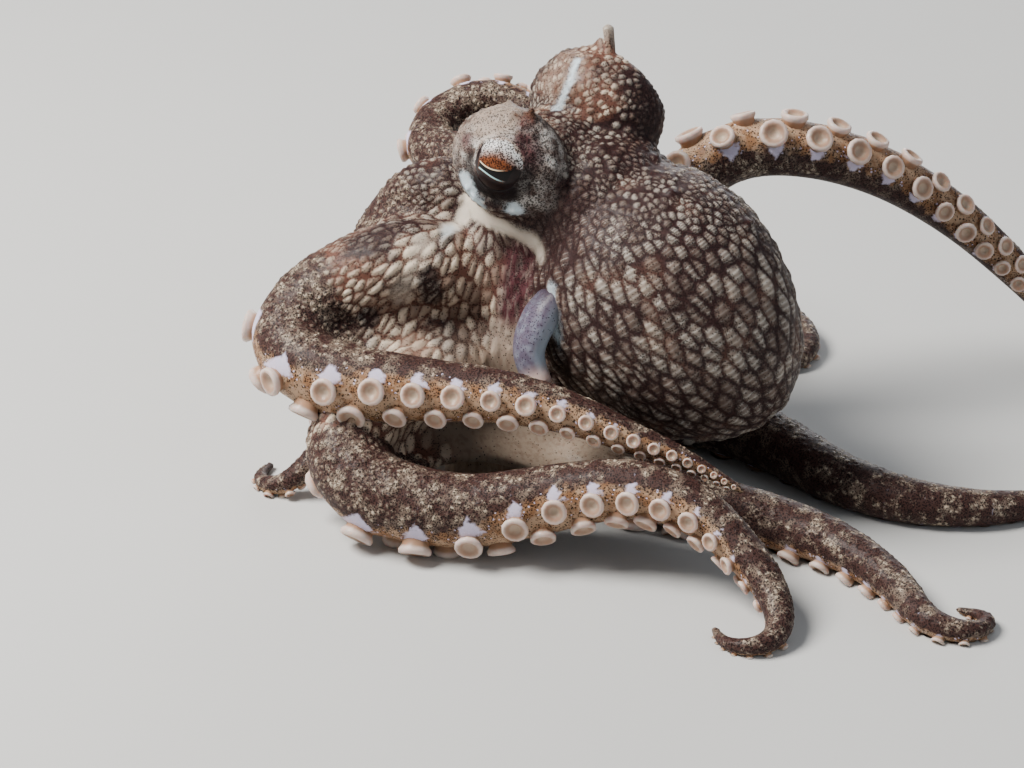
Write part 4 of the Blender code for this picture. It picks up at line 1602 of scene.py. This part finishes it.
    def relief(self, points: np.ndarray, far: np.ndarray, raised: np.ndarray) -> np.ndarray:
        """How far the skin stands out, with its pebbles, its low lumps and its papillae.

        The lumps are sin(0.9 x + 2 sin(0.5 z)) * sin(0.8 y + 2 sin(0.55 x)) / 2, so that no two
        are alike.

        Args:
            points: the skin's points.
            far: how far each is towards the edge of its pebble.
            raised: how much of the pebbles and lumps shows there.

        Returns:
            The lift of each point, in millimetres.
        """
        x, y, z = points.T
        lift = self.pebble_height * ease(1.0, 0.3, far)
        lumps = np.sin(x * 0.9 + 2 * np.sin(z * 0.5))
        lumps = lumps * np.sin(y * 0.8 + 2 * np.sin(x * 0.55)) * 0.5
        lift = (lift + self.lump_height * lumps) * raised
        for papilla in PAPILLAE:
            lift = np.maximum(lift, papilla.lift(points))
        return lift

    def arm_fields(self, points: np.ndarray) -> tuple[np.ndarray, np.ndarray, np.ndarray, np.ndarray]:
        """For each point of the skin, what the nearest arm says of it.

        Args:
            points: the skin's points.

        Returns:
            How much it is arm rather than body, how far it is towards the suckers, from -1 to 1,
            how far inside a pearly triangle it is, in millimetres, and how near the arm's root.
        """
        middle = np.concatenate([arm.line for arm in self.arms]).astype(np.float32)
        radii = np.concatenate([arm.radii for arm in self.arms]).astype(np.float32)
        owner = np.concatenate([np.full(len(arm.line), k) for k, arm in enumerate(self.arms)])
        square = np.sum(middle**2, axis=1)
        nearest = []
        for part in np.array_split(points.astype(np.float32), self.chunks):
            far = np.sum(part**2, axis=1)[:, None] + square - 2 * part @ middle.T
            nearest.append(np.argmin(np.sqrt(np.maximum(far, 0)) - radii, axis=1))
        nearest = np.concatenate(nearest)
        armness, under = np.zeros(len(points)), np.zeros(len(points))
        pearl, root = np.full(len(points), -1.0), np.zeros(len(points))
        for k, arm in enumerate(self.arms):
            mine = np.flatnonzero(owner[nearest] == k)
            sample = nearest[mine] - k * arm.samples
            offset = points[mine] - arm.line[sample]
            place = arm.along[sample]
            far = np.linalg.norm(offset, axis=1) / arm.radii[sample]
            down = np.sum(offset * arm.under[sample], axis=1)
            across = np.sum(offset * arm.side[sample], axis=1)
            angle = np.arctan2(across, down)
            free = ease(arm.web_end * 0.55, arm.web_end * 0.95, place)
            armness[mine] = free * ease(1.7, 1.25, far)
            under[mine] = np.cos(angle)
            root[mine] = ease(arm.web_end * 1.5, arm.web_end, place)
            pearl[mine] = self.pearl_triangles(arm, place, angle) - (1 - armness[mine])
        return armness, under, pearl, root

    def pearl_triangles(self, arm: Arm, place: np.ndarray, angle: np.ndarray) -> np.ndarray:
        """A triangle on the back's side of each sucker, wide at the sucker, pointed away.

        Its half width is the sucker's radius times 1.15 (1 - t)^1.3, where t goes from nought to
        one over its length, which is an angle about the arm.

        Args:
            arm: the arm.
            place: each point's distance along it.
            angle: each point's angle from the middle of the suckers.

        Returns:
            How far each point is inside the nearest triangle's edge, in millimetres, and below
            nought outside.
        """
        places, rows = arm.sucker_places()
        depth = np.full(len(place), -1.0)
        for row in (-1.0, 1.0):
            mine = places[rows == row]
            following = np.clip(np.searchsorted(mine, place), 1, len(mine) - 1)
            near = np.where(place - mine[following - 1] < mine[following] - place, following - 1, following)
            size = arm.sucker_radius(mine)[near]
            share = (angle * row - arm.row_angle - self.pearl_from) / self.pearl_length
            width = size * self.pearl_width * np.clip(1 - share, 0, 2) ** 1.3
            inside = np.minimum(width - np.abs(place - mine[near]), share * size)
            depth = np.maximum(depth, np.where(share > -0.5, inside - 0.2 * ease(1.0, 0.6, size), -1.0))
        return depth


@dataclass
class Surface:
    """A mesh's points and faces as arrays, and ways to soften it."""

    points: np.ndarray
    edges: np.ndarray
    quads: np.ndarray

    @classmethod
    def read(cls, mesh: bpy.types.Mesh) -> Surface:
        """Reads a mesh of four-sided faces.

        Args:
            mesh: the mesh.

        Returns:
            Its points in millimetres, its edges and its faces.
        """
        points = taken(mesh.vertices, "co", np.float32, 3).astype(float) / MM
        corners = taken(mesh.loops, "vertex_index", np.int32)
        return cls(points, taken(mesh.edges, "vertices", np.int32, 2), corners.reshape(-1, 4))

    def neighbours(self) -> np.ndarray:
        """The mean of each point's neighbours."""
        a, b = self.edges.T
        count = len(self.points)
        degree = np.bincount(a, minlength=count) + np.bincount(b, minlength=count)
        total = np.stack([np.bincount(a, self.points[b, k], count) + np.bincount(b, self.points[a, k], count)
                          for k in range(3)], axis=1)
        return total / degree[:, None]

    def normals(self) -> np.ndarray:
        """Each point's normal: the sum of its faces' cross products of diagonals, at length one."""
        p = self.points[self.quads]
        face = np.cross(p[:, 2] - p[:, 0], p[:, 3] - p[:, 1])
        count = len(self.points)
        total = np.stack([sum(np.bincount(self.quads[:, c], face[:, k], count) for c in range(4))
                          for k in range(3)], axis=1)
        return unit(total)

    def areas(self) -> np.ndarray:
        """A quarter of the area of each face, summed at its points, in square millimetres."""
        p = self.points[self.quads]
        face = np.linalg.norm(np.cross(p[:, 2] - p[:, 0], p[:, 3] - p[:, 1]), axis=1) / 2
        return sum(np.bincount(self.quads[:, c], face / 4, len(self.points)) for c in range(4))

    def soften(self, rounds: int) -> None:
        """Moves each point halfway to the mean of its neighbours, so many times."""
        for _ in range(rounds):
            self.points = 0.5 * (self.points + self.neighbours())

    def fill_creases(self, rounds: int, weight: np.ndarray) -> None:
        """Fills hollow creases and leaves ridges: a point moves to the mean of its neighbours only
        where that mean lies outside it.

        Args:
            rounds: how many times.
            weight: how far each point may move, from nought to one.
        """
        for k in range(rounds):
            if k % 5 == 0:
                normals = self.normals()
            shift = self.neighbours() - self.points
            lift = np.sum(shift * normals, axis=1)
            self.points = self.points + shift * (weight * (lift > 0) * 0.9)[:, None]


# ---------------------------------------------------------------- studio


@dataclass
class Studio:
    """The plain pale floor, the soft lights and the camera."""

    azimuth: float = 35.0
    elevation: float = 27.0
    distance: float = 440.0
    across: float = -4.375
    above: float = 7.75
    lens: float = 118.125
    lamps: tuple[tuple, ...] = (("key", (-0.62, 0.72, -0.42), 0.5, 0.26, 6.4, (1.0, 0.97, 0.93)),
                                ("fill", (0.9, 0.25, -0.7), 0.7, 0.6, 0.9, (0.86, 0.93, 1.0)),
                                ("rim", (0.3, 0.7, 0.8), 0.6, 0.4, 2.0, (0.95, 0.97, 1.0)))
    room: tuple[float, float, float, float] = (0.82, 0.86, 0.92, 1.0)
    room_light: float = 0.26
    floor_half: float = 1500.0
    floor_drop: float = 0.01
    finish: FloorFinish = field(default_factory=FloorFinish)

    def axes(self) -> tuple[Vector, Vector, Vector]:
        """The camera's right, up and forward directions."""
        a, e = math.radians(self.azimuth), math.radians(self.elevation)
        right = Vector((math.cos(a), math.sin(a), 0))
        forward = Vector((-math.sin(a) * math.cos(e), math.cos(a) * math.cos(e), -math.sin(e)))
        return right, right.cross(forward), forward

    def build(self) -> None:
        """Makes the floor, the lights and the camera."""
        self.floor()
        right, up, forward = self.axes()
        target = (right * self.across + up * self.above) * MM
        camera = bpy.data.cameras.new("camera")
        camera.lens = self.lens
        camera.clip_start = 0.01
        holder = add_object("camera", camera)
        turn = Matrix((right, up, -forward)).transposed().to_4x4()
        holder.matrix_world = Matrix.Translation(target - forward * self.distance * MM) @ turn
        bpy.context.scene.camera = holder
        for name, (x, y, z), *lamp in self.lamps:
            self.lamp(name, target, right * x + up * y + forward * z, *lamp)
        world = bpy.data.worlds.new("room")
        world.use_nodes = True
        colour, strength = world.node_tree.nodes["Background"].inputs[:2]
        colour.default_value, strength.default_value = self.room, self.room_light
        bpy.context.scene.world = world

    def lamp(self, name: str, target: Vector, way: Vector, far: float, size: float, power: float,
             colour: Point) -> None:
        """Adds a soft lamp that shines at the target.

        Args:
            name: its name.
            target: what it shines at, in metres.
            way: the direction from the target to the lamp.
            far: how far off it is, in metres.
            size: its width, in metres.
            power: its power, in watts.
            colour: its colour.
        """
        light = bpy.data.lights.new(name, "AREA")
        light.shape = "DISK"
        light.size = size
        light.energy = power
        light.color = colour
        holder = add_object(name, light)
        way = way.normalized()
        turn = way.to_track_quat("Z", "Y").to_matrix().to_4x4()
        holder.matrix_world = Matrix.Translation(target + way * far) @ turn

    def floor(self) -> None:
        """A level square sheet, a hair below the octopus's own underside."""
        side = np.linspace(-self.floor_half, self.floor_half, 9)
        x, y = np.meshgrid(side, side, indexing="ij")
        points = np.stack([x, y, 0 * x - self.floor_drop], axis=-1).reshape(-1, 3)
        obj = Shell(points, squares(*x.shape)).object("floor")
        obj.data.materials.append(self.finish.dress())


# ---------------------------------------------------------------- the whole


def report(obj: bpy.types.Object) -> None:
    """Logs a piece's name and its triangles."""
    obj.data.calc_loop_triangles()
    LOG.info("%s: %d triangles", obj.name, len(obj.data.loop_triangles))


def main() -> None:
    """Loads the frame and builds the octopus and its studio."""
    logging.basicConfig(level=logging.INFO, format="%(message)s")
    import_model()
    Studio().build()
    arms = Arms().build()
    eye_finish = EyeFinish()
    eyes = [
        Eye("left", (1.1, -10.3, 44.0), (0.26, -0.93, 0.25), (0.25, -0.967, 0.05), (0.978, 0.169, -0.12),
            eye_finish),
        Eye("right", (3.4, 10.3, 46.2), (0.10, 0.93, 0.30), (0.10, 0.99, 0.05), (0.978, -0.1, -0.12),
            eye_finish),
    ]
    report(Body(arms, eyes, SkinFinish()).build())
    for eye in eyes:
        report(eye.build())
    report(Siphon(SiphonFinish()).build())
    for arm in arms:
        report(Suckers(arm, SuckerFinish()).build())


if __name__ == "__main__":
    main()
